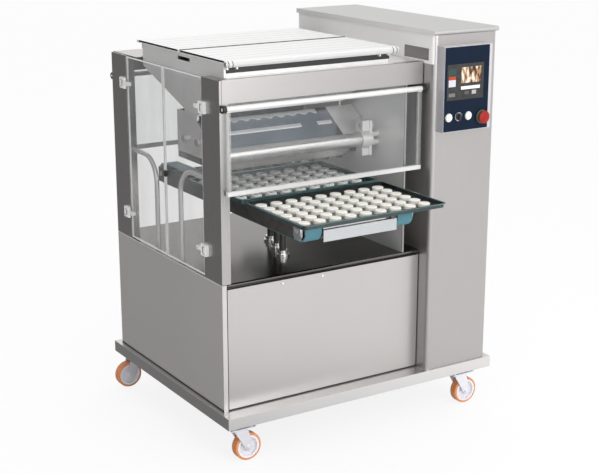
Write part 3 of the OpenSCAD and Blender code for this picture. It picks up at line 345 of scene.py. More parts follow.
def screen_look(low, high):
    """A lit touch screen: plain tiles and bars, with no words."""
    film_depth = 0.005 * MM
    s = Shader("look_screen", (0.035, 0.037, 0.042), 0.12)
    x, _, z = s.split(s.place)
    across = s.ramp(x, low.x, high.x)
    up = s.ramp(z, low.z, high.z)

    def tile(left, bottom, right, top):
        """One inside the tile and zero outside; its sides are shares of the screen."""
        return s.chain("MULTIPLY", s.math("GREATER_THAN", across, left), s.math("LESS_THAN", across, right),
                       s.math("GREATER_THAN", up, bottom), s.math("LESS_THAN", up, top))

    glow = s.mix(s.ramp(s.noise(60.0), 0.3, 0.7), (0.030, 0.030, 0.030), (0.045, 0.044, 0.043))
    bands = s.noise(1.0, 2.0, 0.5, s.stretch((70.0, 1.0, 26.0)))
    picture = s.mix(s.ramp(bands, 0.40, 0.46), (0.050, 0.030, 0.028), (0.34, 0.20, 0.10))
    picture = s.mix(s.ramp(bands, 0.52, 0.57), picture, (0.62, 0.55, 0.48))
    tiles = (
        ((0.04, 0.70, 0.24, 0.88), (0.030, 0.060, 0.055)),
        ((0.04, 0.57, 0.23, 0.67), (0.36, 0.055, 0.025)),
        ((0.04, 0.38, 0.23, 0.57), (0.50, 0.50, 0.55)),
        ((0.05, 0.10, 0.22, 0.20), (0.14, 0.14, 0.14)),
        ((0.38, 0.28, 0.90, 0.37), (0.66, 0.66, 0.66)),
        ((0.48, 0.14, 0.60, 0.23), (0.08, 0.08, 0.08)),
        ((0.68, 0.13, 0.80, 0.24), (0.34, 0.34, 0.35)),
        ((0.38, 0.46, 0.92, 0.90), picture),
    )
    for sides, color in tiles:
        glow = s.mix(tile(*sides), glow, color)
    s.base(glow)
    s.link(glow, s.bsdf.inputs["Emission Color"])
    s.bsdf.inputs["Emission Strength"].default_value = 0.35
    s.bsdf.inputs["Specular IOR Level"].default_value = 0.18
    s.relief(s.noise(500.0), film_depth)
    return s.material


def tray_look(node, low_coat, high_coat):
    """Dark green non-stick coat with a fine speckle, and a painted sheen of lighter teal along the outer
    rim.
    """
    rim = 7 * MM
    speckle_depth = 0.04 * MM
    low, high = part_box(node)
    s = Shader("look_" + node, (0.016, 0.030, 0.030), 0.36)
    x, y, _ = s.split(s.place)
    outer = s.chain("MAXIMUM", s.ramp(x, low.x + rim, low.x), s.ramp(x, high.x - rim, high.x),
                    s.ramp(y, low.y + rim, low.y), s.ramp(y, high.y - rim, high.y))
    speckle = s.noise(1400.0, 2.0)
    wear_and_sheen = s.noise(18.0, 4.0, 0.6)
    coat = s.mix(s.ramp(wear_and_sheen, 0.35, 0.75), low_coat, high_coat)
    # Painted sheen: lighter teal on the outer rim, for the light it catches.
    rim_sheen = s.mix(s.ramp(wear_and_sheen, 0.3, 0.7), (0.070, 0.160, 0.170), (0.120, 0.230, 0.240))
    s.base(s.mix(s.math("MULTIPLY", outer, 0.85), coat, rim_sheen))
    s.rough(s.weigh(speckle, wear_and_sheen, 0.5), 0.28, 0.44)
    s.relief(speckle, speckle_depth, EDGE_ROUND)
    s.bsdf.inputs["Coat Weight"].default_value = 0.25
    return s.material


def frame_look(node):
    """Conveyor frame: dark rails, with a light front plate and light bearing caps."""
    plate_depth = 30 * MM
    plate_inset = 84 * MM
    cap_length = 62 * MM
    cap_inset = 9 * MM
    lift_plate_top = 861 * MM
    low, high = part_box(node)
    s = Shader("look_" + node, (0.05, 0.047, 0.045), 0.42)
    x, y, z = s.split(s.place)
    plate = s.chain("MULTIPLY", s.math("LESS_THAN", y, low.y + plate_depth),
                    s.math("GREATER_THAN", x, low.x + plate_inset),
                    s.math("LESS_THAN", x, high.x - plate_inset))
    at_side = s.math("MAXIMUM", s.math("LESS_THAN", x, low.x + cap_inset),
                     s.math("GREATER_THAN", x, high.x - cap_inset))
    caps = s.chain("MULTIPLY", at_side, s.math("LESS_THAN", y, low.y + cap_length),
                   s.math("GREATER_THAN", z, lift_plate_top))
    light = s.math("MAXIMUM", plate, caps)
    strokes = s.strokes(RAIL)
    dark_tone = s.mix(s.ramp(s.noise(30.0), 0.3, 0.7), (0.040, 0.037, 0.035), (0.075, 0.070, 0.066))
    light_tone = s.mix(strokes, (0.50, 0.52, 0.53), (0.62, 0.64, 0.65))
    s.base(s.mix(light, dark_tone, light_tone))
    s.link(s.math("MULTIPLY", light, 0.95), s.bsdf.inputs["Metallic"])
    s.rough(strokes, 0.30, 0.46)
    s.relief(strokes, STROKE_DEPTH, EDGE_ROUND)
    return s.material


def dough_look(name, color):
    """Pale dough with a crumb that lets a little light in."""
    crumb_depth = 0.6 * MM
    s = Shader(name, color, 0.62)
    crumb = s.noise(260.0, 5.0, 0.65)
    batch = s.noise(14.0, 2.0)
    s.base(s.mix(s.weigh(crumb, batch, 0.5), scaled(color, 0.86), scaled(color, 1.08)))
    s.rough(crumb, 0.55, 0.75)
    s.relief(crumb, crumb_depth)
    s.bsdf.inputs["Subsurface Weight"].default_value = 0.15
    s.bsdf.inputs["Subsurface Radius"].default_value = (6 * MM, 4 * MM, 2 * MM)
    return s.material


def ring_look(node):
    """Rounds just pressed by the head: white rim, shaded dimple; the grid repeats the tray's pitch."""
    radius = 21 * MM
    pitch_x = 62.5 * MM
    pitch_y = 56 * MM
    dimple = 9 * MM
    dimple_edge = 3 * MM
    crumb_depth = 0.4 * MM
    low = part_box(node)[0]
    s = Shader("look_" + node, (0.96, 0.95, 0.92), 0.6)
    x, y, _ = s.split(s.place)
    squares = []
    for value, first, pitch in ((x, low.x + radius, pitch_x), (y, low.y + radius, pitch_y)):
        cell = s.math("FRACT", s.math("DIVIDE", s.math("SUBTRACT", value, first - pitch / 2), pitch))
        offset = s.math("MULTIPLY", s.math("SUBTRACT", cell, 0.5), pitch)
        squares.append(s.math("MULTIPLY", offset, offset))
    across = s.math("SQRT", s.math("ADD", *squares))
    crumb = s.noise(260.0, 5.0, 0.65)
    rim = s.mix(crumb, (0.90, 0.89, 0.86), (0.98, 0.975, 0.96))
    shade = s.ramp(across, dimple - dimple_edge, dimple, 1.0, 0.0)
    s.base(s.mix(shade, rim, (0.30, 0.36, 0.36)))
    s.rough(crumb, 0.5, 0.7)
    s.relief(crumb, crumb_depth)
    return s.material


def belt_look(name):
    """Food belt with a fine woven pattern."""
    pitch = 1.6 * MM
    weave_depth = 0.1 * MM
    edge = 0.6 * MM
    s = Shader(name, (0.06, 0.21, 0.27), 0.5)
    x, y, z = s.split(s.place)
    warp = s.math("SINE", s.math("MULTIPLY", x, math.tau / pitch))
    weft = s.math("SINE", s.math("MULTIPLY", s.math("ADD", y, z), math.tau / pitch))
    weave = s.math("MULTIPLY_ADD", s.math("MULTIPLY", warp, weft), 0.5, 0.5)
    s.base(s.mix(s.weigh(s.noise(25.0), weave, 0.6), (0.035, 0.14, 0.19), (0.09, 0.27, 0.33)))
    s.rough(weave, 0.44, 0.58)
    s.relief(weave, weave_depth, edge)
    return s.material


def floor_look():
    """White floor that seems evenly lit, and that mirrors darker toward the back left."""
    s = Shader("floor_white", (0.90, 0.90, 0.90), 0.6)
    s.bsdf.inputs["Specular IOR Level"].default_value = 0.1
    s.tone(s.noise(3.0), 0.01)
    rays = s.node("ShaderNodeLightPath").outputs
    x, y, _ = s.split(s.place)
    forward = s.math("MULTIPLY_ADD", x, 0.52, s.math("MULTIPLY", y, -0.85))
    level = s.node("ShaderNodeMix", data_type="FLOAT")
    s.link(rays["Is Glossy Ray"], level.inputs[0])
    s.link(1.0, level.inputs[2])
    s.link(s.ramp(forward, -0.4, 1.3, 0.13, 1.10, smooth=True), level.inputs[3])
    shine = s.node("ShaderNodeEmission")
    s.link(level.outputs[0], shine.inputs["Strength"])
    seen = s.chain("MAXIMUM", rays["Is Camera Ray"], rays["Is Glossy Ray"], rays["Is Transmission Ray"])
    s.surface(s.blend(s.math("MULTIPLY", seen, 0.86), s.bsdf.outputs[0], shine.outputs[0]))
    return s.material


sheet = brushed("brushed_sheet", (0.555, 0.537, 0.527), 0.32, UPRIGHT, metallic=0.88)
post_sheet = brushed("post_sheet", (0.46, 0.445, 0.44), 0.26, UPRIGHT)
box_sheet = brushed("box_sheet", (0.63, 0.62, 0.65), 0.34, UPRIGHT, spread=0.03, metallic=0.55)
deck_sheet = brushed("deck_sheet", (0.13, 0.120, 0.113), 0.17, LEVEL_X, depth=DECK_DEPTH)
head_sheet = brushed("head_sheet", (0.80, 0.79, 0.785), 0.32, UPRIGHT, metallic=0.55)
sheet_level = brushed("brushed_level", (0.45, 0.435, 0.43), 0.32, LEVEL_X)
bright = brushed("bright_steel", (0.82, 0.82, 0.82), 0.24, TURNED, spread=0.04)
side_sheet = brushed("side_sheet", (0.63, 0.605, 0.60), 0.40, UPRIGHT, metallic=0.62)
hopper_sheet = brushed("hopper_sheet", (0.84, 0.83, 0.825), 0.34, LEVEL_X, metallic=0.38)
hoop_steel = brushed("hoop_steel", (0.86, 0.855, 0.85), 0.30, EVEN,
                     spread=0.03, depth=POLISHED_DEPTH, metallic=0.55)
beam_steel = brushed("beam_steel", (0.62, 0.61, 0.605), 0.26, EVEN,
                     spread=0.04, depth=POLISHED_DEPTH, metallic=0.75)
die_steel = brushed("die_steel", (0.30, 0.29, 0.285), 0.24, LEVEL_X, spread=0.08)
zinc = brushed("zinc_steel", (0.82, 0.82, 0.87), 0.38, PLATED, spread=0.08, cloud=40.0, metallic=0.45)
navy = plastic("panel_glass", (0.006, 0.014, 0.032), 0.22,
               grain=1500.0, depth=GLASS_DEPTH, spread=0.15, shine=0.10)
black = plastic("black_plastic", (0.020, 0.020, 0.021), 0.42, spread=0.2)
# Dark grey, only for the painted shade strips on the lid leaves.
painted_lid_shade = plastic("painted_lid_shade", (0.10, 0.098, 0.096), 0.55, spread=0.15)
white = plastic("white_plastic", (0.82, 0.82, 0.81), 0.38, spread=0.03)
red = plastic("red_plastic", (0.33, 0.014, 0.009), 0.42, spread=0.10, shine=0.25)
olive = plastic("olive_plate", (0.105, 0.092, 0.042), 0.4, spread=0.08)
milky = plastic("milky_edge", (0.88, 0.885, 0.885), 0.25, spread=0.04, shine=0.6)
guard_sheet = clear_sheet("guard_sheet", (0.975, 0.98, 0.98), 0.03, across=1)
door_sheet = clear_sheet("door_sheet", (0.90, 0.90, 0.90), 0.10, across=0)
dough = dough_look("dough", (0.91, 0.895, 0.83))
belt = belt_look("belt_weave")

LOOKS = {
    sheet: "front_lower_panel rear_lower_panel",
    post_sheet: "front_left_post rear_left_post",
    box_sheet: "control_box",
    side_sheet: "left_lower_panel",
    sheet_level: "front_top_cover rear_top_cover",
    deck_sheet: "deck_plate",
    head_sheet: "head_side_plates",
    hoop_steel: "guard_hoops",
    beam_steel: "clamp_beam",
    die_steel: "nozzle_block",
    bright: "front_feed_roller rear_feed_roller "
            "clamp_knob_left clamp_knob_right front_pulleys rear_pulleys lift_cylinders button_collars",
    hopper_sheet: "hopper",
    zinc: "castor_plates castor_fork_fl castor_fork_fr castor_fork_rl castor_fork_rr",
    navy: "control_glass",
    black: "selector_knob guard_hinge_blocks door_knob",
    white: "start_button stop_button door_hinge_bases front_door_hinges rear_door_hinges",
    red: "emergency_stop",
    guard_sheet: "front_guard rear_guard",
    door_sheet: "front_door rear_door",
    dough: "front_dough",
    belt: "belts",
}


def dress(node, material):
    mesh = NODES[node].data
    mesh.materials.clear()
    mesh.materials.append(material)


for look, names in LOOKS.items():
    for name in names.split():
        dress(name, look)
for corner in CORNERS:
    dress("castor_wheel_" + corner, wheel_look("castor_wheel_" + corner))
for name in ("front_guard_bar", "rear_guard_bar"):
    dress(name, guard_frame_look(name))
for name in ("lid_front_leaf", "lid_rear_leaf"):
    dress(name, lid_look(name))
dress("front_tray", tray_look("front_tray", (0.010, 0.014, 0.014), (0.018, 0.030, 0.030)))
dress("inner_tray", tray_look("inner_tray", (0.020, 0.075, 0.072), (0.045, 0.140, 0.135)))
dress("conveyor_frame", frame_look("conveyor_frame"))
dress("inner_dough", ring_look("inner_dough"))

# Sheets in two finishes; with the floor as edge, the named faces have the second one at every height, where
# it is painted light on that side
FLOOR = 0.0
WALL_LIP = 3 * MM
lid_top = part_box("hopper")[1].z
cover_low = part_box("head_covers")[0]
mirror_end = cover_low.x + MIRROR_LENGTH
dress("right_inner_wall", placed_sheet(
    "wall_sheet", 0.36, LEVEL_Y, ((0.34, 0.33, 0.325), 0.9), ((0.80, 0.79, 0.785), 0.45),
    axis=1, edge=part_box("right_inner_wall")[0].y + WALL_LIP))
# Painted light: the column's left faces above the slot's foot are near white and barely metallic, a painted
# lit side.
dress("column_shell", placed_sheet(
    "column_sheet_painted_light", 0.32, UPRIGHT, ((0.455, 0.440, 0.433), 0.85), ((0.95, 0.94, 0.935), 0.02),
    axis=2, edge=lid_top - SLOT_DROP, faces=(0, -1)))
# Painted light and shade: the rail's front faces are lighter and its other faces darker, by the side light
# falls on.
dress("base_rail", placed_sheet(
    "rail_sheet_painted_light", 0.30, EVEN, ((0.60, 0.585, 0.58), 0.95), ((0.72, 0.71, 0.705), 0.80),
    axis=2, edge=FLOOR, depth=POLISHED_DEPTH, faces=(1, -1)))
# Painted light: the cap's left faces are lighter and less metallic than its other faces.
dress("column_cap", placed_sheet(
    "cap_sheet_painted_light", 0.46, LEVEL_Y, ((0.50, 0.495, 0.49), 0.60), ((0.82, 0.81, 0.805), 0.20),
    axis=2, edge=FLOOR, faces=(0, -1)))
# Painted reflection: the mirror part of the cover has a dark blue-grey base colour for the surroundings it
# mirrors; past its end the sheet is plain light steel.
dress("head_covers", placed_sheet(
    "cover_sheet_painted_reflection", 0.12, LEVEL_X, ((0.32, 0.38, 0.45), 1.0), ((0.84, 0.83, 0.825), 0.35),
    axis=0, edge=mirror_end, depth=MIRROR_DEPTH))


# Mesh helpers
def piece(name, bm, material, body):
    """Makes an object of a finished mesh, on its body."""
    mesh = bpy.data.meshes.new(name)
    bm.to_mesh(mesh)
    bm.free()
    made = bpy.data.objects.new(name, mesh)
    bpy.context.scene.collection.objects.link(made)
    mesh.materials.append(material)
    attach(made, body)


def turned(bm, profile, place, axis, segments=20, bored=False):
    """Revolves a profile of (radius, height) pairs about axis at place.

    Both ends are closed; bored joins the last pair to the first instead, which leaves a hole."""
    turn = axis.to_track_quat("Z", "Y").to_matrix()
    angles = [i * math.tau / segments for i in range(segments)]
    rings = [[bm.verts.new(place + turn @ Vector((radius * math.cos(a), radius * math.sin(a), height)))
              for a in angles] for radius, height in profile]
    for low, high in zip(rings, rings[1:] + rings[:1] if bored else rings[1:]):
        for i in range(segments):
            j = (i + 1) % segments
            face = bm.faces.new((low[i], low[j], high[j], high[i]))
            face.smooth = True
    if not bored:
        bm.faces.new(list(reversed(rings[0])))
        bm.faces.new(rings[-1])


def button_screw(bm, place, axis, radius):
    """Dome-head screw with a socket."""
    height = radius * 0.6
    skirt = height * 0.25
    dome = height - skirt
    sweep = math.radians(62)
    steps = 5
    profile = [(radius, 0), (radius, skirt)]
    for i in range(1, steps + 1):
        angle = i / steps * sweep
        profile.append((radius * math.cos(angle), skirt + dome * math.sin(angle) / math.sin(sweep)))
    profile += [(radius * 0.40, height), (radius * 0.38, height * 0.35)]
    turned(bm, profile, place, axis)


def screws(name, body, places, axis, radius, material=bright):
    bm = bmesh.new()
    for place in places:
        button_screw(bm, Vector(place), axis, radius)
    piece(name, bm, material, body)


def rounded_box(bm, centre, half, bevel):
    """Box with rounded edges, added to a mesh."""
    verts = bmesh.ops.create_cube(bm, size=2.0)["verts"]
    for v in verts:
        v.co = v.co * half + centre
    edges = {e for v in verts for e in v.link_edges}
    bmesh.ops.bevel(bm, geom=list(edges), offset=bevel, segments=3, affect="EDGES", profile=0.5)


def slab(name, low, high, bevel, material, body):
    """Flat plate with rounded edges."""
    bm = bmesh.new()
    rounded_box(bm, (high + low) / 2, (high - low) / 2, bevel)
    piece(name, bm, material, body)


def slope_strip(bm, slope, x0, x1, low, high, steps, thick):
    """Thin strip on a slope of (foot, along, outward), between two edges given as functions of x."""
    foot, along, outward = slope
    sunk = 0.2 * MM
    rows = []
    for i in range(steps + 1):
        x = x0 + (x1 - x0) * i / steps
        outline = ((low(x), -sunk), (low(x), thick * 0.6), (low(x) + thick * 0.5, thick),
                   (high(x) - thick * 0.5, thick), (high(x), thick * 0.6), (high(x), -sunk))
        start = foot + Vector((x, 0, 0))
        rows.append([bm.verts.new(start + along * up + outward * off) for up, off in outline])
    count = len(rows[0])
    for here, there in zip(rows, rows[1:]):
        for k in range(count):
            j = (k + 1) % count
            bm.faces.new((here[k], here[j], there[j], there[k]))
    bm.faces.new(list(reversed(rows[0])))
    bm.faces.new(rows[-1])
    bmesh.ops.recalc_face_normals(bm, faces=bm.faces)


# Pieces that only the scene has
def touch_screen():
    """Touch screen on the glass plate."""
    left, right = 8 * MM, 180 * MM
    bottom, top = 116 * MM, 249 * MM
    proud, sunk = 0.6 * MM, 0.2 * MM
    rounding = 0.2 * MM
    glass_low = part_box("control_glass")[0]
    low = glass_low + Vector((left, -proud, bottom))
    high = glass_low + Vector((right, sunk, top))
    slab("touch_screen", low, high, rounding, screen_look(low, high), "cabinet")


def hinge_trims():
    """Screws of the side-door hinges, and black boxes in their bases as painted shade of the gaps between
    the knuckles.
    """
    hinge_height = 42 * MM
    screw_radius = 3.5 * MM
    base_step = 13 * MM
    base_inset = 12 * MM
    leaf_inset = 9 * MM
    leaf_sunk = 1 * MM
    slot_inset = 22 * MM
    slot_half = Vector((0.6 * MM, 2.2 * MM, 13 * MM))
    slot_rounding = 0.5 * MM
    base_low, base_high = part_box("door_hinge_bases")
    front_low, front_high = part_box("front_door_hinges")
    rear_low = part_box("rear_door_hinges")[0]
    middles = (base_low.z + hinge_height / 2, base_high.z - hinge_height / 2)
    base_places = [(base_low.x, y, middle + step)
                   for middle in middles
                   for step in (-base_step, base_step)
                   for y in (base_low.y + base_inset, base_high.y - base_inset)]
    front_places = [(front_low.x + leaf_sunk, front_high.y - leaf_inset, middle) for middle in middles]
    rear_places = [(rear_low.x + leaf_sunk, rear_low.y + leaf_inset, middle) for middle in middles]
    screws("hinge_base_screws", "cabinet", base_places, OUT_LEFT, screw_radius)
    screws("front_leaf_screws", "front_door", front_places, OUT_LEFT, screw_radius)
    screws("rear_leaf_screws", "rear_door", rear_places, OUT_LEFT, screw_radius)
    # Painted shade: black boxes for the shaded gaps in the hinge bases.
    bm = bmesh.new()
    for middle in middles:
        for y in (base_low.y + slot_inset, base_high.y - slot_inset):
            rounded_box(bm, Vector((base_low.x, y, middle)), slot_half, slot_rounding)
    piece("hinge_gap_shade", bm, black, "cabinet")


def stop_plate():
    """Dark olive plate behind the emergency stop, with a bore for its stem."""
    overlap = 2 * MM
    bore = 9 * MM
    sunk, shoulder, face = 0.4 * MM, 0.6 * MM, 1.1 * MM
    chamfer = 0.6 * MM
    low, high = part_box("emergency_stop")
    middle = (low + high) / 2
    middle.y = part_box("control_glass")[0].y
    radius = (high.x - low.x) / 2 + overlap
    profile = [(bore, -sunk), (radius, -sunk), (radius, shoulder), (radius - chamfer, face), (bore, face)]
    bm = bmesh.new()
    turned(bm, profile, middle, OUT_FRONT, segments=40, bored=True)
    piece("stop_plate", bm, olive, "cabinet")


def door_edges():
    """Milky polished edges on the clear doors."""
    edge_half = 2.6 * MM
    proud = 0.3 * MM
    level_proud = 0.2 * MM
    rounding = 0.6 * MM
    for name in ("front_door", "rear_door"):
        low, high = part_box(name)
        middle, half = (low + high) / 2, (high - low) / 2
        upright_half = Vector((half.x + proud, edge_half, half.z))
        level_half = Vector((half.x + level_proud, half.y - 2 * edge_half, edge_half))
        bm = bmesh.new()
        for y in (low.y + edge_half, high.y - edge_half):
            rounded_box(bm, Vector((middle.x, y, middle.z)), upright_half, rounding)
        for z in (low.z + edge_half, high.z - edge_half):
            rounded_box(bm, Vector((middle.x, middle.y, z)), level_half, rounding)
        piece(name + "_edges", bm, milky, name)


def panel_edge_highlight():
    """Light steel strip along the top of the left panel: a painted highlight on its edge."""
    proud = 0.6 * MM
    half_height = 2.2 * MM
    drop = 1 * MM
    inset = 1 * MM
    rounding = 0.5 * MM
    low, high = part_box("left_lower_panel")
    bm = bmesh.new()
    rounded_box(bm, Vector((low.x, (low.y + high.y) / 2, high.z - drop)),
                Vector((proud, (high.y - low.y) / 2 - inset, half_height)), rounding)
    piece("panel_edge_highlight", bm, hoop_steel, "cabinet")


def front_latches():
    """Quarter-turn latches at the front panel's top edge."""
    radius = 6 * MM
    rim, face = 1.2 * MM, 2 * MM
    drop = 12 * MM
    insets = (228 * MM, 400 * MM)
    low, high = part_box("front_lower_panel")
    profile = [(radius, 0), (radius, rim), (radius * 0.8, face), (radius * 0.3, face), (radius * 0.25, rim)]
    bm = bmesh.new()
    for inset in insets:
        turned(bm, profile, Vector((low.x + inset, low.y, high.z - drop)), OUT_FRONT)
    piece("front_latches", bm, bright, "cabinet")


def foot_shadow_strips():
    """Black strips along the feet of the front and left panels: painted shadow at their feet."""
    proud = 0.8 * MM
    half_height = 2.5 * MM
    rounding = 0.5 * MM
    bm = bmesh.new()
    low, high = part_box("front_lower_panel")
    rounded_box(bm, Vector(((low.x + high.x) / 2, low.y, low.z + half_height)),
                Vector(((high.x - low.x) / 2, proud, half_height)), rounding)
    low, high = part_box("left_lower_panel")
    rounded_box(bm, Vector((low.x, (low.y + high.y) / 2, low.z + half_height)),
                Vector((proud, (high.y - low.y) / 2, half_height)), rounding)
    piece("foot_shadow_strips", bm, black, "cabinet")


def cover_trims():
    """Scalloped strip and grip bars on the mirror cover, laid on its slope."""
    run, climb, slope_length = 137 * MM, 94 * MM, 161 * MM
    near = 0.1 * MM
    strip_drop = 3 * MM
    strip_wide = 20 * MM
    strip_left, strip_right = 18 * MM, 52 * MM
    strip_thick = 1.4 * MM
    strip_steps = 120
    wave, pitch = 5.5 * MM, 51 * MM
    bar_low = 72 * MM
    bar_wide = 18 * MM
    bar_thick = 3 * MM
    bar_steps = 8
    long_left, long_right = 20 * MM, 153 * MM
    short_left, short_right = 80 * MM, 16 * MM
    bars = ((cover_low.x + long_left, mirror_end - long_right),
            (mirror_end - short_left, mirror_end - short_right))
    corners = [v.co for v in NODES["head_covers"].data.vertices]
    foot_z = max(c.z for c in corners if c.y < cover_low.y + near)
    slope = (Vector((0, cover_low.y, foot_z)), Vector((0, run, climb)).normalized(),
             Vector((0, -climb, run)).normalized())
    strip_top = slope_length - strip_drop
    strip_low = strip_top - strip_wide
    x0, x1 = cover_low.x + strip_left, mirror_end - strip_right
    bm = bmesh.new()
    slope_strip(bm, slope, x0, x1, lambda x: strip_low + wave * math.cos((x - x0) / pitch * math.tau),
                lambda x: strip_top, strip_steps, strip_thick)
    piece("scallop_strip", bm, hoop_steel, "cabinet")
    bm = bmesh.new()
    for left, right in bars:
        slope_strip(bm, slope, left, right, lambda x: bar_low, lambda x: bar_low + bar_wide,
                    bar_steps, bar_thick)
    piece("grip_bars", bm, hoop_steel, "cabinet")


def lid_shade_strips():
    """Dark bead where the lid leaves meet, and dark edging on their left ends: painted shade of the meeting
    line and of the left side edges.
    """
    bead_half_wide, bead_half_high = 3.2 * MM, 1.8 * MM
    bead_inset, bead_rise, bead_end = 3.3 * MM, 0.6 * MM, 1 * MM
    bead_rounding = 0.8 * MM
    edging_half, edging_half_high = 1.6 * MM, 3.4 * MM
    edging_drop, edging_end = 3 * MM, 16 * MM
    edging_rounding = 0.6 * MM
    low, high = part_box("lid_rear_leaf")
    bm = bmesh.new()
    rounded_box(bm, Vector(((low.x + high.x) / 2, low.y + bead_inset, high.z + bead_rise)),
                Vector(((high.x - low.x) / 2 - bead_end, bead_half_wide, bead_half_high)), bead_rounding)
    rounded_box(bm, Vector((low.x + edging_half, (low.y + high.y) / 2, high.z - edging_drop)),
                Vector((edging_half, (high.y - low.y) / 2 - edging_end, edging_half_high)), edging_rounding)
    piece("rear_lid_shade", bm, painted_lid_shade, "rear_lid")
    low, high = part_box("lid_front_leaf")
    roll_back = low.y + 2 * LID_ROLL_RADIUS
    bm = bmesh.new()
    rounded_box(bm, Vector((low.x + edging_half, (roll_back + high.y) / 2, high.z - edging_drop)),
                Vector((edging_half, (high.y - roll_back) / 2, edging_half_high)), edging_rounding)
    piece("front_lid_shade", bm, painted_lid_shade, "front_lid")


def roll_trims():
    """End caps and dark rings on the rolled edge of the front lid leaf."""
    segments = 28
    cap_room = 0.6 * MM
    cap_sunk, cap_rim, cap_face, cap_dish = 1 * MM, 1.5 * MM, 2.5 * MM, 0.6 * MM
    ring_half = 1.5 * MM
    ring_insets = (8 * MM, 24 * MM)
    ring_sunk, ring_proud, ring_crowned = 1 * MM, 0.2 * MM, 0.5 * MM
    cap_radius = LID_ROLL_RADIUS - cap_room
    ring_bore = LID_ROLL_RADIUS - ring_sunk
    ring_edge = LID_ROLL_RADIUS + ring_proud
    ring_crown = LID_ROLL_RADIUS + ring_crowned
    low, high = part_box("lid_front_leaf")
    y, z = low.y + LID_ROLL_RADIUS, high.z - LID_ROLL_RADIUS
    cap = [(cap_radius, -cap_sunk), (cap_radius, cap_rim), (LID_ROLL_RADIUS * 0.8, cap_face),
           (LID_ROLL_RADIUS * 0.45, cap_face), (LID_ROLL_RADIUS * 0.40, cap_dish)]
    ring = [(ring_bore, -ring_half), (ring_edge, -ring_half), (ring_crown, 0),
            (ring_edge, ring_half), (ring_bore, ring_half)]
    bm = bmesh.new()
    for x, axis in ((low.x, OUT_LEFT), (high.x, OUT_RIGHT)):
        turned(bm, cap, Vector((x, y, z)), axis, segments)
    piece("roll_caps", bm, bright, "front_lid")
    bm = bmesh.new()
    for inset in ring_insets:
        for x in (low.x + inset, high.x - inset):
            turned(bm, ring, Vector((x, y, z)), OUT_RIGHT, segments, bored=True)
    piece("roll_rings", bm, black, "front_lid")


def hopper_shadow_strip():
    """Black strip on the hopper's front wall, which stands behind the lid's hinge lugs: painted shadow
    under the lid's rolled edge.
    """
    lug_reach = 15 * MM
    end = 8 * MM
    proud = 1.2 * MM
    half_height = 11 * MM
    rounding = 0.8 * MM
    low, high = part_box("hopper")
    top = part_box("lid_front_leaf")[0].z
    bm = bmesh.new()
    rounded_box(bm, Vector(((low.x + high.x) / 2, low.y + lug_reach, top - half_height)),
                Vector(((high.x - low.x) / 2 - end, proud, half_height)), rounding)
    piece("hopper_shadow_strip", bm, black, "cabinet")


def slot_liner():
    """Steel liner behind the column's slot."""
    outer, inner = 1.6 * MM, 2.6 * MM
    front, back = 30 * MM, 230 * MM
    rise = 20 * MM
    rounding = 0.3 * MM
    column_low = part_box("column_shell")[0]
    low = Vector((column_low.x + outer, column_low.y + front, lid_top - SLOT_DROP))
    high = Vector((column_low.x + inner, column_low.y + back, lid_top + rise))
    slab("slot_liner", low, high, rounding, die_steel, "cabinet")


def rear_panel_screws():
    """Two rows of screws along the rear panel's edges."""
    inset = 14 * MM
    radius = 4 * MM
    shares = (0.04, 0.35, 0.65, 0.96)
    low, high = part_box("rear_lower_panel")
    places = [(low.x + (high.x - low.x) * share, high.y, z)
              for z in (low.z + inset, high.z - inset) for share in shares]
    screws("rear_panel_screws", "cabinet", places, OUT_BACK, radius)


def castor_bolts():
    """Bolt heads under the castor plates' corners."""
    plate_long, plate_wide = 100 * MM, 84 * MM
    inset = 14 * MM
    radius = 6 * MM
    low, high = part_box("castor_plates")
    places = [(x, y, low.z)
              for x0 in (low.x, high.x - plate_long)
              for y0 in (low.y, high.y - plate_wide)
              for x in (x0 + inset, x0 + plate_long - inset)
              for y in (y0 + inset, y0 + plate_wide - inset)]
    screws("castor_bolts", "cabinet", places, DOWN, radius, zinc)


touch_screen()
hinge_trims()
stop_plate()
door_edges()
panel_edge_highlight()
front_latches()
foot_shadow_strips()
cover_trims()
lid_shade_strips()
roll_trims()
hopper_shadow_strip()
slot_liner()
rear_panel_screws()
castor_bolts()

# Stage: floor, sky and lamps
FLOOR_SIZE = 60.0
MIDDLE = (CAD_LOW + CAD_HIGH) / 2
scene = bpy.context.scene
scene.view_settings.view_transform = "Standard"
bm = bmesh.new()
bmesh.ops.create_grid(bm, x_segments=1, y_segments=1, size=FLOOR_SIZE / 2)
mesh = bpy.data.meshes.new("floor")
bm.to_mesh(mesh)
bm.free()
mesh.materials.append(floor_look())
floor = bpy.data.objects.new("floor", mesh)
scene.collection.objects.link(floor)


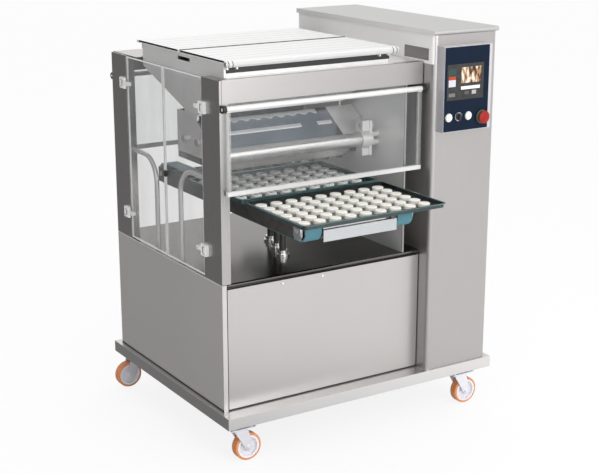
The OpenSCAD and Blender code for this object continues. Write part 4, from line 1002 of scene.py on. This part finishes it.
def studio_sky():
    """White sky to the camera; as light it is bright on the right and dim on the left."""
    bright_side = (0.90, -0.25, 0.35)
    world = bpy.data.worlds.new("studio")
    scene.world = world
    world.use_nodes = True
    nodes, links = world.node_tree.nodes, world.node_tree.links
    nodes.clear()
    place = nodes.new("ShaderNodeTexCoord")
    toward = nodes.new("ShaderNodeVectorMath")
    toward.operation = "DOT_PRODUCT"
    toward.inputs[1].default_value = bright_side
    links.new(place.outputs["Generated"], toward.inputs[0])
    side = nodes.new("ShaderNodeMapRange")
    side.interpolation_type = "SMOOTHSTEP"
    limits = {"From Min": -0.75, "From Max": 0.20, "To Min": 0.18, "To Max": 1.05}
    for name, number in limits.items():
        side.inputs[name].default_value = number
    links.new(toward.outputs["Value"], side.inputs["Value"])
    rays = nodes.new("ShaderNodeLightPath")
    direct = nodes.new("ShaderNodeMath")
    direct.operation = "MAXIMUM"
    links.new(rays.outputs["Is Camera Ray"], direct.inputs[0])
    links.new(rays.outputs["Is Transmission Ray"], direct.inputs[1])
    level = nodes.new("ShaderNodeMix")
    level.data_type = "FLOAT"
    links.new(direct.outputs[0], level.inputs[0])
    links.new(side.outputs["Result"], level.inputs[2])
    level.inputs[3].default_value = 1.0
    sky = nodes.new("ShaderNodeBackground")
    sky.inputs["Color"].default_value = (1, 1, 1, 1)
    links.new(level.outputs[0], sky.inputs["Strength"])
    links.new(sky.outputs[0], nodes.new("ShaderNodeOutputWorld").inputs["Surface"])


def lamp(name, location, size, power):
    """Rectangular lamp that looks at the middle of the part."""
    light = bpy.data.lights.new(name, "AREA")
    light.energy = power
    light.shape = "RECTANGLE"
    light.size, light.size_y = size
    made = bpy.data.objects.new(name, light)
    scene.collection.objects.link(made)
    made.location = location
    made.rotation_euler = (MIDDLE - Vector(location)).to_track_quat("-Z", "Y").to_euler()


studio_sky()
lamp("key", (1.8, -4.4, 3.6), (3.6, 3.0), 38)
lamp("fill", (-3.4, -2.8, 1.9), (2.4, 2.0), 26)
lamp("front", (0.2, -3.6, 1.55), (2.0, 1.2), 30)
lamp("top", (-0.4, 0.2, 4.4), (3.6, 3.6), 14)
lamp("back", (0.8, 4.4, 4.4), (2.4, 1.6), 16)

# Camera at the photograph's angle
PHOTO_WIDTH = 598
FOCAL_PIXELS = 1314.5
SENSOR_WIDTH = 36.0
CAMERA_PLACE = (-2.6860, -4.1362, 2.0886)
YAW, PITCH = math.radians(32.18), math.radians(15.72)
camera_data = bpy.data.cameras.new("camera")
camera_data.sensor_width = SENSOR_WIDTH
camera_data.lens = FOCAL_PIXELS / PHOTO_WIDTH * SENSOR_WIDTH
camera = bpy.data.objects.new("camera", camera_data)
scene.collection.objects.link(camera)
camera.location = CAMERA_PLACE
view = Vector((math.sin(YAW) * math.cos(PITCH), math.cos(YAW) * math.cos(PITCH), -math.sin(PITCH)))
camera.rotation_euler = view.to_track_quat("-Z", "Y").to_euler()
scene.camera = camera
